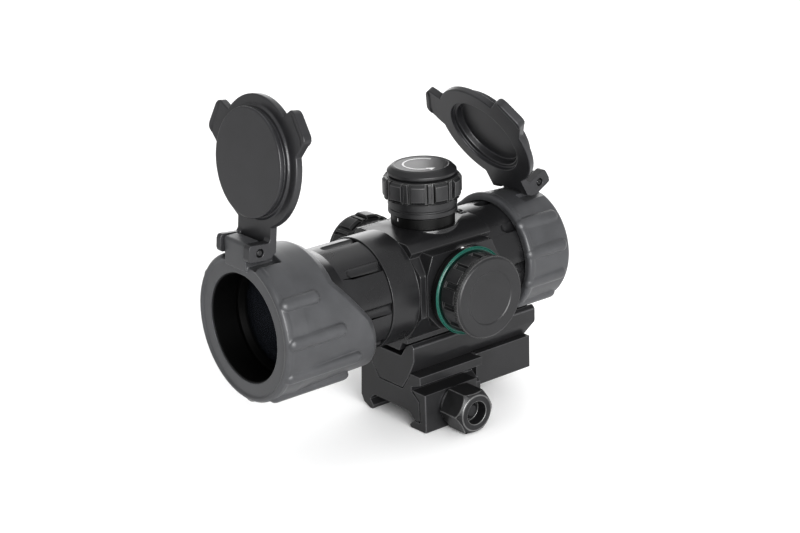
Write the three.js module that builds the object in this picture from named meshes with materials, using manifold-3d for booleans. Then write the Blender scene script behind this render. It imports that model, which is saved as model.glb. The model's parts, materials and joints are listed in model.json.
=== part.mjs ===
// Tube red dot sight on a riser with a cross-bolt rail clamp, in millimetres, +Z up.
// The optical axis runs along Y and the objective looks towards -Y.
// The origin lies on the flat rail seat under the riser.
import * as THREE from 'three';
import { mergeVertices } from 'three/addons/utils/BufferGeometryUtils.js';
import Module from 'manifold-3d';

const wasm = await Module();
wasm.setup();

// ---- Driving dimensions --------------------------------------------------------------------
const OPTIC_HEIGHT = 38.9;
const TURRET_Y = -5.0;

const TUBE_RADIUS = 17.2;
const BARREL_RADIUS = 16.8;
const BORE_RADIUS = 15.0;
const SEAT_RADIUS = 16.2;
const SPIGOT_RADIUS = 16.0;
const COLLAR_FRONT = -26.0;
const HOUSING_FRONT = -16.0;
const HOUSING_REAR = 15.0;
const SEAT_DEPTH = 4.6;
const SPIGOT_LENGTH = 4.2;

const TOP_FACE = 16.8;
const SIDE_FACE = 18.3;

const BELL_RADIUS = 19.2;
const BELL_FRONT = -62.5;
const BELL_REAR = -47.5;
const BARREL_START = -41.0;
const LENS_SEAT_RADIUS = 17.4;
const GROOVE_COUNT = 8;
const GROOVE_RADIUS = 1.5;
const GROOVE_DEPTH = 0.6;

const REAR_BARREL_END = 41.6;
const EYE_OPENING = 14.9;
const FRONT_OPENING = 16.3;
const FRONT_RIM = -67.5;
const UPPER_SHEAR = -0.77;
const LOWER_SHEAR = -0.35;
const SLEEVE_END = -27.0;
const REAR_SLEEVE_START = 25.9;
const REAR_RIM = 44.2;
const SLEEVE_GAP = 0.15;

const FRONT_HINGE = { y: -65.2, drop: 24.1, reach: 3.3, plate: 19.0, plug: 15.7, open: 185.9, ears: -5.5 };
const REAR_HINGE = { y: 40.7, drop: 21.8, reach: 3.8, plate: 18.2, plug: 14.4, open: 209.0, ears: 5.0 };
const PLATE_THICKNESS = 2.2;
const PLUG_DEPTH = 3.0;
const RECESS_RADIUS = 13.2;
const RECESS_DEPTH = 3.4;
const ARM_OUTER = 8.0;
const ARM_INNER = 6.1;
const LUG_HALF = 5.7;
const LUG_DEPTH = 2.6;
const LUG_TOP = 2.4;
const LUG_CORNER = 1.2;
const PIN_RADIUS = 1.0;
const PIN_HOLE = 1.2;
const SPRING_SLOT_HALF = 2.5;

const DIAL_RADIUS = 12.0;
const SKIRT_RADIUS = 10.5;
const BASE_RADIUS = 9.7;
const DIAL_LOBES = 10;
const INNER_TUBE_RADIUS = 12.0;
const SCREW_TIP = 12.6;

const KNOB_RADIUS = 12.3;
const INDEX_RADIUS = 13.5;
const CAP_RADIUS = 12.6;
const KNOB_LOBES = 12;
const CAP_TEETH = 24;

const RAIL_ROOF_HALF = 8.4;
const RAIL_APEX_HALF = 10.7;
const MOUNT_FRONT = -14.5;
const RAIL_REAR = 10.3;
const BASE_REAR = 32.2;
const CLAMP_REAR = 6.2;
const RISER_REAR = 35.2;
const BOLT_Y = -2.7;
const BOLT_Z = 1.6;
const BOLT_RADIUS = 2.5;
const NUT_FLATS = 12.6;

const FINE = 32;
const MEDIUM = 20;
const SMALL = 12;

// ---- Materials -----------------------------------------------------------------------------
function finish(color, roughness, metalness) {
  return new THREE.MeshStandardMaterial({ color, roughness, metalness });
}

const ANODISED = finish(0x17181a, 0.42, 0.6);
const BLACK_GLOSS = finish(0x0c0c0d, 0.3, 0.5);
const RUBBER = finish(0x232527, 0.75, 0.0);
const PLASTIC = finish(0x1b1d1f, 0.55, 0.0);
const STEEL = finish(0x3a3c3f, 0.35, 0.9);
const BRIGHT_STEEL = finish(0x9a9c9f, 0.3, 1.0);
const GREEN = finish(0x0d7f5e, 0.4, 0.2);
const GLASS = finish(0x20303a, 0.05, 0.0);
const LED = finish(0x7a1010, 0.3, 0.0);

// ---- Solid helpers -------------------------------------------------------------------------
function solid(geometry) {
  const bare = geometry.index ? geometry.toNonIndexed() : geometry.clone();
  bare.deleteAttribute('normal');
  bare.deleteAttribute('uv');
  const merged = mergeVertices(bare, 1e-4);
  const corners = merged.index.array;
  const kept = [];
  for (let i = 0; i < corners.length; i += 3) {
    const [a, b, c] = [corners[i], corners[i + 1], corners[i + 2]];
    if (a !== b && b !== c && c !== a) {
      kept.push(a, b, c);
    }
  }
  const vertProperties = new Float32Array(merged.attributes.position.array);
  const triVerts = new Uint32Array(kept);
  return new wasm.Manifold(new wasm.Mesh({ numProp: 3, vertProperties, triVerts }));
}

function geometryOf(manifold) {
  const mesh = manifold.getMesh();
  const geometry = new THREE.BufferGeometry();
  const positions = new Float32Array(mesh.vertProperties);
  geometry.setAttribute('position', new THREE.BufferAttribute(positions, 3));
  geometry.setIndex(new THREE.BufferAttribute(new Uint32Array(mesh.triVerts), 1));
  geometry.computeVertexNormals();
  return geometry;
}

function joined(parts) {
  return parts.reduce((whole, part) => whole.add(part));
}

function cut(body, parts) {
  return parts.reduce((whole, part) => whole.subtract(part), body);
}

// A closed profile of [radius, height] pairs turned about Y.
function turned(profile, segments = FINE) {
  const area = profile.reduce((sum, [r, h], i) => {
    const [r2, h2] = profile[(i + 1) % profile.length];
    return sum + r * h2 - r2 * h;
  }, 0);
  const ordered = area > 0 ? profile : [...profile].reverse();
  const points = ordered.map(([r, h]) => new THREE.Vector2(r, h));
  points.push(points[0].clone());
  return new THREE.LatheGeometry(points, segments);
}

function ringSolid(outer, inner, from, to, segments = FINE) {
  return solid(turned([[inner, from], [outer, from], [outer, to], [inner, to]], segments));
}

function rod(radius, from, to, segments = FINE) {
  return solid(turned([[0, from], [radius, from], [radius, to], [0, to]], segments));
}

// Turns a solid made about Y so that its axis lies along X or Z.
function alongX(manifold) {
  return manifold.rotate([0, 0, -90]);
}

function alongZ(manifold) {
  return manifold.rotate([90, 0, 0]);
}

function box(x0, x1, y0, y1, z0, z1) {
  const geometry = new THREE.BoxGeometry(x1 - x0, y1 - y0, z1 - z0);
  geometry.translate((x0 + x1) / 2, (y0 + y1) / 2, (z0 + z1) / 2);
  return solid(geometry);
}

function outline(points) {
  return new THREE.Shape(points.map(([a, b]) => new THREE.Vector2(a, b)));
}

function prism(shape, depth, curveSegments = 12) {
  return new THREE.ExtrudeGeometry(shape, { depth, bevelEnabled: false, curveSegments });
}

// An outline in X and Z, drawn out along Y.
function prismAlongY(points, from, to) {
  const geometry = prism(outline(points), to - from);
  geometry.rotateX(Math.PI / 2);
  geometry.translate(0, to, 0);
  return solid(geometry);
}

// An outline in Y and Z, drawn out along X.
function prismAlongX(points, from, to) {
  const geometry = prism(outline(points), to - from);
  geometry.rotateX(Math.PI / 2);
  geometry.rotateZ(Math.PI / 2);
  geometry.translate(from, 0, 0);
  return solid(geometry);
}

function bothSides(rightHalf) {
  const left = rightHalf.map(([x, z]) => [-x, z]).reverse();
  return [...rightHalf, ...left];
}

function arcPoints(centreA, centreB, radius, fromDegrees, toDegrees, steps) {
  const points = [];
  for (let i = 0; i <= steps; i += 1) {
    const angle = THREE.MathUtils.degToRad(fromDegrees + ((toDegrees - fromDegrees) * i) / steps);
    points.push([centreA + radius * Math.cos(angle), centreB + radius * Math.sin(angle)]);
  }
  return points;
}

function addPiece(group, name, shape, material) {
  const geometry = shape.isBufferGeometry ? shape : geometryOf(shape);
  const mesh = new THREE.Mesh(geometry, material);
  mesh.name = name;
  group.add(mesh);
  return mesh;
}

// ---- Sight body ----------------------------------------------------------------------------
function housingSection() {
  return bothSides([
    [8.1, TOP_FACE], [12.0, 15.0], [13.8, 13.2], [12.8, 11.4], [17.2, 7.6], [17.6, 6.4],
    [17.6, -6.0], [11.4, -13.6], [10.5, -14.6], [10.5, -16.2], [8.2, -16.2], [6.6, -19.2],
  ]);
}

function sideBoss() {
  const face = [
    [-14.0, 7.0], [-11.8, 12.8], [11.4, 12.8], [14.0, 7.0],
    [14.0, -5.5], [9.6, -10.5], [-9.6, -10.5], [-14.0, -5.5],
  ];
  return prismAlongX(face, 12.0, SIDE_FACE);
}

function mainHousing() {
  const ramp = [[HOUSING_FRONT, 15.5], [-10.8, TOP_FACE], [-10.8, 20.0], [HOUSING_FRONT, 20.0]];
  const body = joined([
    rod(TUBE_RADIUS, COLLAR_FRONT, HOUSING_REAR),
    prismAlongY(housingSection(), HOUSING_FRONT, HOUSING_REAR),
    sideBoss(),
    sideBoss().mirror([1, 0, 0]),
    alongZ(rod(10.8, 12.0, TOP_FACE)),
  ]);
  return cut(body, [
    box(-11.0, 11.0, -12.6, 12.6, TOP_FACE, TOP_FACE + 3),
    prismAlongX(ramp, -20.0, 20.0),
    rod(BORE_RADIUS, COLLAR_FRONT - 1, HOUSING_REAR + 1),
    rod(SEAT_RADIUS, COLLAR_FRONT - 1, COLLAR_FRONT + SEAT_DEPTH),
    rod(SEAT_RADIUS, HOUSING_REAR - SEAT_DEPTH, HOUSING_REAR + 1),
    alongZ(rod(6.4, 10.0, TOP_FACE + 1, MEDIUM)),
    alongX(rod(6.4, -SIDE_FACE - 1, -10.0, MEDIUM)),
    alongX(rod(8.9, 10.0, SIDE_FACE + 1, MEDIUM)),
    alongZ(rod(1.7, -20.0, -15.8, SMALL)).translate([0, -9.0, 0]),
    alongZ(rod(1.7, -20.0, -15.8, SMALL)).translate([0, 8.0, 0]),
  ]);
}

// Shallow bars with one round end, sunk evenly round a barrel.
function barrelGrooves(radius, roundEnd, openEnd) {
  const grooves = [];
  const length = openEnd - roundEnd;
  for (let i = 0; i < GROOVE_COUNT; i += 1) {
    const slot = [
      [GROOVE_RADIUS, length],
      [-GROOVE_RADIUS, length],
      ...arcPoints(0, 0, GROOVE_RADIUS, 180, 360, 6),
    ];
    const groove = solid(prism(outline(slot), 3)).translate([0, roundEnd, radius - GROOVE_DEPTH]);
    grooves.push(groove.rotate([0, (360 * i) / GROOVE_COUNT, 0]));
  }
  return grooves;
}

function frontBarrel() {
  const body = solid(turned([
    [15.4, COLLAR_FRONT + SPIGOT_LENGTH], [15.4, -52.0], [LENS_SEAT_RADIUS, -52.0],
    [LENS_SEAT_RADIUS, BELL_FRONT], [BELL_RADIUS, BELL_FRONT], [BELL_RADIUS, BELL_REAR],
    [BARREL_RADIUS, BARREL_START], [BARREL_RADIUS, COLLAR_FRONT - 0.1],
    [SPIGOT_RADIUS, COLLAR_FRONT - 0.1], [SPIGOT_RADIUS, COLLAR_FRONT + SPIGOT_LENGTH],
  ]));
  return cut(body, barrelGrooves(BARREL_RADIUS, -37.6, COLLAR_FRONT + 2));
}

function rearBarrel() {
  const body = solid(turned([
    [14.6, HOUSING_REAR - SPIGOT_LENGTH], [SPIGOT_RADIUS, HOUSING_REAR - SPIGOT_LENGTH],
    [SPIGOT_RADIUS, HOUSING_REAR + 0.1], [BARREL_RADIUS, HOUSING_REAR + 0.1],
    [BARREL_RADIUS, REAR_BARREL_END], [15.6, REAR_BARREL_END], [15.6, 35.0], [14.6, 35.0],
  ]));
  return cut(body, barrelGrooves(BARREL_RADIUS, 21.9, 36.0));
}

function lens(radius, edgeFrom, edgeTo, bulge) {
  const steps = 3;
  const front = [];
  const back = [];
  for (let i = 0; i <= steps; i += 1) {
    const share = i / steps;
    const rise = bulge * (1 - share * share);
    front.push([radius * share, edgeFrom - rise]);
    back.push([radius * (1 - share), edgeTo + bulge * (1 - (1 - share) * (1 - share)) * 0.6]);
  }
  return turned([...front, ...back]);
}

function ledModule() {
  return joined([
    box(4.6, 8.4, 9.0, 13.5, -5.4, -2.0),
    rod(1.2, 7.4, 9.4, SMALL).translate([6.0, 0, -3.7]),
  ]);
}

function leafSpring() {
  const bow = [
    [-8.0, -14.6], [-6.0, -14.6], [0.0, -13.1], [6.0, -14.6], [8.0, -14.6],
    [8.0, -14.2], [6.2, -14.2], [0.0, -12.6], [-6.2, -14.2], [-8.0, -14.2],
  ];
  return prismAlongX(bow, -2.0, 2.0).rotate([0, -45, 0]);
}

function addOptics(optic) {
  addPiece(optic, 'main_housing', mainHousing(), ANODISED);
  addPiece(optic, 'front_barrel', frontBarrel(), ANODISED);
  addPiece(optic, 'rear_barrel', rearBarrel(), ANODISED);
  addPiece(optic, 'objective_lens', lens(17.2, -54.9, -52.3, 0.8), GLASS);
  addPiece(optic, 'objective_ring', ringSolid(17.2, 14.2, -58.4, -56.0), BLACK_GLOSS);
  addPiece(optic, 'eyepiece_lens', lens(15.4, 35.9, 37.4, 0.5), GLASS);
  addPiece(optic, 'eyepiece_ring', ringSolid(15.4, 13.4, 38.6, 40.6), BLACK_GLOSS);
  addPiece(optic, 'pivot_ring', ringSolid(13.8, 12.7, 8.0, 11.5), BLACK_GLOSS);
  addPiece(optic, 'inner_tube', ringSolid(INNER_TUBE_RADIUS, 10.6, -19.0, 14.0), BLACK_GLOSS);
  addPiece(optic, 'led_emitter', ledModule(), LED);
  addPiece(optic, 'tube_spring', leafSpring(), BRIGHT_STEEL);
}

// ---- Rubber covers and flip caps -----------------------------------------------------------
// Everything here is drawn about the hinge pin, with +Y pointing out of the sight.
function hingeRelief() {
  const arm = box(LUG_HALF, ARM_OUTER + 0.5, -6.6, 20, -4.9, 20);
  return [
    arm,
    arm.mirror([1, 0, 0]),
    box(-LUG_HALF - 0.1, LUG_HALF + 0.1, -6.6, -LUG_DEPTH, -3.2, 20),
    box(-LUG_HALF - 0.1, LUG_HALF + 0.1, LUG_DEPTH, 20, -3.2, 20),
  ];
}

function hingeLug(depth) {
  const side = LUG_DEPTH - LUG_CORNER;
  const profile = [
    ...arcPoints(side, LUG_TOP - LUG_CORNER, LUG_CORNER, 0, 90, 4),
    ...arcPoints(-side, LUG_TOP - LUG_CORNER, LUG_CORNER, 90, 180, 4),
    [-LUG_DEPTH, -depth],
    [LUG_DEPTH, -depth],
  ];
  return prismAlongX(profile, -LUG_HALF, LUG_HALF);
}

function hingeCuts() {
  return [
    alongX(rod(PIN_HOLE, -20, 20, SMALL)),
    box(-SPRING_SLOT_HALF, SPRING_SLOT_HALF, -10, 1.95, -2.1, 1.95),
  ];
}

// Moves a solid from a hinge's own frame to the optic's frame.
function atHinge(manifold, hinge, facing) {
  const turnedRound = facing < 0 ? manifold.rotate([0, 0, 180]) : manifold;
  return turnedRound.translate([0, hinge.y, hinge.drop]);
}

function frontSleeve() {
  const outer = solid(turned([
    [0, FRONT_RIM - 3], [22.3, FRONT_RIM - 3], [22.3, -60.0], [21.6, -55.0],
    [21.2, -46.0], [20.8, SLEEVE_END], [0, SLEEVE_END],
  ]));
  const slope = turned([
    [0, -90.0], [24.0, -90.0], [24.0, -41.0], [21.2, -38.4], [20.0, -36.6], [19.0, -35.7],
    [17.7, -34.9], [0, -34.9],
  ]);
  slope.applyMatrix4(new THREE.Matrix4().makeShear(0, 0, 0, 0, 0, UPPER_SHEAR));
  const lower = turned([
    [0, -90.0], [24.0, -90.0], [24.0, -40.0], [20.8, -37.9], [20.0, -36.6], [19.0, -35.6],
    [17.9, -35.0], [0, -35.0],
  ]);
  lower.applyMatrix4(new THREE.Matrix4().makeShear(0, 0, 0, 0, 0, LOWER_SHEAR));
  const upper = solid(turned([
    [0, -90.0], [24.0, -90.0], [24.0, -49.8], [21.3, -48.6], [20.2, -46.4], [19.0, -45.2], [0, -45.2],
  ]));
  const rimFace = rod(21.4, FRONT_RIM - 1.0, FRONT_RIM + 1.0);
  const rimBody = rod(23.0, FRONT_RIM, 0);
  const rear = solid(lower).intersect(solid(slope)).add(upper);
  const body = outer.intersect(rear).intersect(rimBody.add(rimFace));
  const reach = BELL_RADIUS + SLEEVE_GAP;
  const tube = BARREL_RADIUS + SLEEVE_GAP;
  const hollow = solid(turned([
    [0, -80.0], [FRONT_OPENING, -80.0], [FRONT_OPENING, BELL_FRONT - 0.3],
    [reach, BELL_FRONT - 0.3], [reach, BELL_REAR + 0.1], [tube, BARREL_START + 0.1],
    [tube, -10.0], [0, -10.0],
  ]));
  const relief = hingeRelief().map((part) => atHinge(part, FRONT_HINGE, -1));
  const lug = cut(atHinge(hingeLug(6.0), FRONT_HINGE, -1), [hollow]);
  const cuts = hingeCuts().map((part) => atHinge(part, FRONT_HINGE, -1));
  return cut(cut(body, [hollow, ...relief]).add(lug), cuts);
}

function rearSleeve() {
  const inner = BARREL_RADIUS + SLEEVE_GAP;
  const body = solid(turned([
    [inner, REAR_SLEEVE_START], [18.5, REAR_SLEEVE_START], [19.2, REAR_SLEEVE_START + 1.2],
    [18.9, 35.0], [18.6, 43.0], [17.6, REAR_RIM], [EYE_OPENING, REAR_RIM],
    [EYE_OPENING, REAR_BARREL_END + 0.3], [inner, REAR_BARREL_END + 0.3],
  ]));
  const relief = hingeRelief().map((part) => atHinge(part, REAR_HINGE, 1));
  const core = rod(inner, 20, REAR_BARREL_END + 0.3);
  const lug = cut(atHinge(hingeLug(6.0), REAR_HINGE, 1), [core]);
  const cuts = hingeCuts().map((part) => atHinge(part, REAR_HINGE, 1));
  return cut(cut(body, relief).add(lug), cuts);
}

function capEar(radius) {
  const reach = radius - 19.0;
  return [
    [12.0, -13.0], [17.2 + reach, -16.0], [18.9 + reach, -15.0],
    [22.8 + reach, -8.9], [22.9 + reach, -7.4], [17.6, -1.6],
  ];
}

function flipCap(hinge) {
  const face = hinge.reach;
  const back = face + PLATE_THICKNESS;
  const plate = rod(hinge.plate, face, back).translate([0, 0, -hinge.drop]);
  const ear = prismAlongY(capEar(hinge.plate), face, back);
  const ears = ear.add(ear.mirror([1, 0, 0])).rotate([0, hinge.ears, 0]);
  const neck = box(-ARM_OUTER, ARM_OUTER, face, back, -hinge.drop + hinge.plate - 4.0, -0.6);
  const plugProfile = [
    [0, face + 0.5], [0, face - PLUG_DEPTH], [hinge.plug - 0.8, face - PLUG_DEPTH],
    [hinge.plug, face - PLUG_DEPTH + 0.8], [hinge.plug, face + 0.5],
  ];
  const plug = solid(turned(plugProfile)).translate([0, 0, -hinge.drop]);
  const armSide = [
    ...arcPoints(-2.6, 1.4, 1.2, 90, 180, 4),
    ...arcPoints(-2.6, -1.4, 1.2, 180, 270, 4),
    [face - 0.4, -2.6], [face, -3.6], [back, -3.6], [back, 0.4], [face + 0.8, 1.9], [face - 1.2, 2.6],
  ];
  const arm = prismAlongX(armSide, ARM_INNER, ARM_OUTER);
  const body = joined([
    plate, neck, plug, ears.translate([0, 0, -hinge.drop]), arm, arm.mirror([1, 0, 0]),
  ]);
  const recess = solid(turned([
    [0, back + 1], [0, back - RECESS_DEPTH], [RECESS_RADIUS - 1.6, back - RECESS_DEPTH],
    [RECESS_RADIUS - 1.2, back - 1.2], [RECESS_RADIUS, back - 1.2], [RECESS_RADIUS, back + 1],
  ])).translate([0, 0, -hinge.drop]);
  return cut(body, [recess, alongX(rod(PIN_HOLE, -20, 20, SMALL))]);
}

function torsionSpring() {
  const coils = 3;
  const wire = 0.42;
  const half = coils * wire;
  const profile = [[1.15, -half], [1.15, half]];
  for (let i = 0; i < coils; i += 1) {
    const middle = half - (2 * i + 1) * wire;
    profile.push([1.45, middle + wire], [1.8, middle + wire / 2], [1.8, middle - wire / 2]);
  }
  profile.push([1.45, -half]);
  const leg = box(half - 2 * wire + 0.05, half - 0.05, -2.9, -1.2, -1.7, -1.1);
  return alongX(solid(turned(profile, SMALL))).add(leg);
}

function addCover(optic, label, hinge, facing, sleeve) {
  addPiece(optic, `${label}_cover_sleeve`, sleeve, RUBBER);
  const frame = new THREE.Group();
  frame.position.set(0, hinge.y, hinge.drop);
  frame.rotation.z = facing < 0 ? Math.PI : 0;
  optic.add(frame);
  const cap = addPiece(frame, `${label}_flip_cap`, flipCap(hinge), PLASTIC);
  cap.rotation.x = THREE.MathUtils.degToRad(hinge.open);
  addPiece(frame, `${label}_hinge_pin`, alongX(rod(PIN_RADIUS, -7.9, 7.9, SMALL)), STEEL);
  addPiece(frame, `${label}_cap_spring`, torsionSpring(), STEEL);
}

// ---- Turrets -------------------------------------------------------------------------------
// A round outline with lobes parted by slots; land is the lobe's share of the pitch.
function lobedOutline(count, lobe, root, land) {
  const points = [];
  const pitch = 360 / count;
  for (let i = 0; i < count; i += 1) {
    const start = i * pitch;
    points.push(...arcPoints(0, 0, lobe, start, start + pitch * land, 1));
    points.push(...arcPoints(0, 0, root, start + pitch * (land + 0.06), start + pitch * 0.94, 1));
  }
  return points;
}

// Draws a radial outline out along Y, between two heights.
function radialPrism(points, from, to) {
  const geometry = prism(outline(points), to - from);
  geometry.rotateX(-Math.PI / 2);
  geometry.translate(0, from, 0);
  return solid(geometry);
}

function turretDial() {
  const grip = radialPrism(lobedOutline(DIAL_LOBES, DIAL_RADIUS, 10.8, 0.62), 8.2, 14.5);
  const core = solid(turned([
    [0, 3.6], [SKIRT_RADIUS, 3.6], [SKIRT_RADIUS, 5.0], [10.2, 5.2], [10.2, 5.6],
    [SKIRT_RADIUS, 5.8], [SKIRT_RADIUS, 14.6], [10.0, 14.9], [0, 14.9],
  ]));
  const trim = solid(turned([
    [0, 3.0], [11.0, 3.0], [11.0, 8.3], [DIAL_RADIUS, 9.2], [DIAL_RADIUS, 13.8], [11.4, 14.5],
    [10.6, 15.2], [0, 15.2],
  ]));
  const hollow = rod(8.5, 3.0, 12.6, MEDIUM);
  return cut(core.add(grip).intersect(trim), [hollow]);
}

function turretBase(depth) {
  return solid(turned([
    [2.8, -depth], [6.2, -depth], [6.2, 0.0], [BASE_RADIUS, 0.0], [BASE_RADIUS, 3.2],
    [7.6, 3.2], [7.6, 6.0], [7.1, 6.0], [7.1, 7.2], [7.6, 7.2], [7.6, 9.6], [2.8, 9.6],
  ], MEDIUM));
}

function turretPlate() {
  return turned([
    [0, 15.0], [10.0, 15.0], [10.5, 15.5], [10.5, 16.3], [9.1, 17.7], [8.7, 17.9], [0, 17.9],
  ]);
}

function addTurret(parent, label, seat) {
  const spigot = seat - INNER_TUBE_RADIUS - 1.2;
  const tip = SCREW_TIP - seat;
  addPiece(parent, `${label}_base`, turretBase(spigot), BLACK_GLOSS);
  addPiece(parent, `${label}_dial`, turretDial(), ANODISED);
  addPiece(parent, `${label}_dial_plate`, turretPlate(), ANODISED);
  addPiece(parent, `${label}_seal`, ringSolid(8.2, 7.25, 6.2, 7.0, MEDIUM), RUBBER);
  const screw = turned([
    [0, tip], [1.4, tip], [2.5, tip + 1.2], [2.5, 10.0], [4.4, 10.0], [4.4, 12.3], [0, 12.3],
  ], SMALL);
  addPiece(parent, `${label}_screw`, screw, BRIGHT_STEEL);
}

function addTurrets(optic) {
  const top = new THREE.Group();
  top.position.z = TOP_FACE;
  top.rotation.x = Math.PI / 2;
  optic.add(top);
  addTurret(top, 'elevation', TOP_FACE);
  const side = new THREE.Group();
  side.position.x = -SIDE_FACE;
  side.rotation.z = Math.PI / 2;
  optic.add(side);
  addTurret(side, 'windage', SIDE_FACE);
}

// ---- Brightness knob and battery -----------------------------------------------------------
function brightnessKnob() {
  const grip = radialPrism(lobedOutline(KNOB_LOBES, KNOB_RADIUS, 11.2, 0.66), 22.4, 27.6);
  const rings = ringSolid(KNOB_RADIUS - 0.3, 0, 21.8, 22.6).add(ringSolid(11.8, 0, 27.4, 27.9));
  return cut(grip.add(rings), [
    rod(6.4, 21.0, 24.0, MEDIUM),
    rod(9.5, 23.6, 29.0, MEDIUM),
  ]);
}

function batteryCap() {
  const rim = radialPrism(lobedOutline(CAP_TEETH, CAP_RADIUS, CAP_RADIUS - 0.25, 0.4), 28.2, 29.6);
  const face = solid(turned([
    [0, 28.2], [12.2, 28.2], [12.3, 29.9], [11.8, 30.3], [8.2, 30.3], [8.0, 30.0], [0, 30.0],
  ]));
  const neck = ringSolid(9.2, 8.3, 26.2, 28.4, MEDIUM);
  return joined([rim, face, neck]);
}

function knobBase() {
  return solid(turned([
    [0, 14.4], [8.6, 14.4], [8.6, SIDE_FACE + 0.1], [12.9, SIDE_FACE + 0.1], [12.9, 21.0],
    [6.0, 21.0], [6.0, 23.4], [0, 23.4],
  ]));
}

function addKnob(optic) {
  const axis = new THREE.Group();
  axis.rotation.z = -Math.PI / 2;
  optic.add(axis);
  addPiece(axis, 'knob_base', knobBase(), BLACK_GLOSS);
  addPiece(axis, 'green_index_ring', turned([
    [11.4, 21.1], [INDEX_RADIUS, 21.1], [INDEX_RADIUS, 21.4], [13.1, 21.6], [11.4, 21.6],
  ]), GREEN);
  addPiece(axis, 'brightness_knob', brightnessKnob(), ANODISED);
  addPiece(axis, 'battery_contact', turned([
    [2.0, 23.6], [6.4, 24.5], [6.4, 24.7], [1.8, 23.8],
  ], MEDIUM), BRIGHT_STEEL);
  addPiece(axis, 'battery_cell', turned([
    [0, 24.9], [6.6, 24.9], [6.8, 25.2], [8.0, 25.2], [8.0, 27.9], [0, 27.9],
  ], MEDIUM), BRIGHT_STEEL);
  addPiece(axis, 'battery_cap', batteryCap(), ANODISED);
}

// ---- Riser, rail base and clamp ------------------------------------------------------------
// Sections here are in X and Z, with Z measured from the rail seat.
function riserBlock() {
  const section = bothSides([
    [5.4, 17.3], [8.0, 21.2], [8.9, 21.6], [9.7, 22.1], [10.4, 22.3], [11.5, 21.2],
    [11.5, 16.8], [8.5, 10.8], [7.3, 9.2], [5.6, 6.8],
  ]);
  const body = prismAlongY(section, MOUNT_FRONT, RISER_REAR);
  const undercut = prismAlongX([
    [RISER_REAR + 1, 17.2], [RISER_REAR, 17.2], [RISER_REAR - 2.8, 12.8],
    [RISER_REAR - 2.8, 0.0], [RISER_REAR + 1, 0.0],
  ], -20, 20);
  const screwHoles = [-9.0, 8.0].flatMap((y) => [
    alongZ(rod(1.7, 0, 30, SMALL)).translate([0, y, 0]),
    alongZ(rod(3.2, 0, 10.6, SMALL)).translate([0, y, 0]),
  ]);
  const baseHoles = [15.0, 27.0].map((y) => alongZ(rod(1.7, 0, 13.2, SMALL)).translate([0, y, 0]));
  return cut(body, [undercut, ...screwHoles, ...baseHoles]);
}

function cradleSection(outerRight) {
  return [
    [-5.75, 6.6], [-7.45, 9.1], [-8.65, 10.8], [-9.75, 13.0], [-14.6, 7.8], [-15.1, -1.6],
    [-13.9, -3.9], [-10.9, -5.2], [-9.7, -5.2], [-9.1, -3.9],
    [-RAIL_APEX_HALF, -2.1], [-RAIL_ROOF_HALF, 0], [RAIL_ROOF_HALF, 0],
    [RAIL_APEX_HALF, -2.1], ...outerRight, [9.6, 12.6], [8.65, 10.8], [7.45, 9.1], [5.75, 6.6],
  ];
}

function railBase() {
  const front = prismAlongY(cradleSection([
    [13.4, -2.1], [13.4, 4.3], [9.9, 7.0], [9.9, 8.4], [14.2, 9.9], [14.2, 12.6],
  ]), MOUNT_FRONT, RAIL_REAR);
  const rear = prismAlongY([
    [-5.75, 6.6], [5.75, 6.6], [7.45, 9.1], [8.65, 10.8], [9.75, 13.0], [12.1, 13.0], [12.1, 2.4],
    [-12.1, 2.4], [-12.1, 10.1], [-9.75, 13.0], [-8.65, 10.8], [-7.45, 9.1],
  ], RAIL_REAR - 0.5, BASE_REAR);
  const screwHoles = [15.0, 27.0].flatMap((y) => [
    alongZ(rod(1.7, 0, 20, SMALL)).translate([0, y, 0]),
    alongZ(rod(3.1, 0, 4.6, SMALL)).translate([0, y, 0]),
  ]);
  return cut(front.add(rear), [
    alongX(rod(BOLT_RADIUS + 0.3, -30, 30, MEDIUM)).translate([0, BOLT_Y, BOLT_Z]),
    ...screwHoles,
  ]);
}

function clampPlate() {
  const section = [
    [10.2, 7.4], [16.4, 7.4], [16.4, -5.0], [9.2, -5.2], [8.6, -4.3],
    [10.8, -2.4], [13.7, -2.4], [13.7, 4.5], [10.2, 7.1],
  ];
  return cut(prismAlongY(section, MOUNT_FRONT, CLAMP_REAR), [
    alongX(rod(BOLT_RADIUS + 0.3, 0, 30, MEDIUM)).translate([0, BOLT_Y, BOLT_Z]),
  ]);
}

function clampNut() {
  const corner = NUT_FLATS / Math.sqrt(3);
  const hexagon = arcPoints(0, 0, corner, 0, 300, 5);
  const chamfer = solid(turned([
    [0, 17.7], [7.4, 17.7], [7.4, 24.6], [5.6, 26.4], [0, 26.4],
  ], MEDIUM));
  const flange = solid(turned([[0, 17.7], [6.6, 17.7], [6.2, 18.7], [0, 18.7]], MEDIUM));
  return cut(radialPrism(hexagon, 17.7, 26.4).intersect(chamfer).add(flange), [
    rod(2.75, 17.0, 27.0, SMALL),
    rod(3.6, 22.8, 27.0, MEDIUM),
  ]);
}

function capScrew(headRadius, headHeight, shankRadius, length) {
  const body = solid(turned([
    [0, 0], [headRadius, 0], [headRadius, headHeight], [shankRadius, headHeight],
    [shankRadius, length], [0, length],
  ], SMALL));
  const socket = radialPrism(arcPoints(0, 0, headRadius * 0.5, 0, 300, 5), -1, headHeight * 0.6);
  return body.subtract(socket);
}

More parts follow.
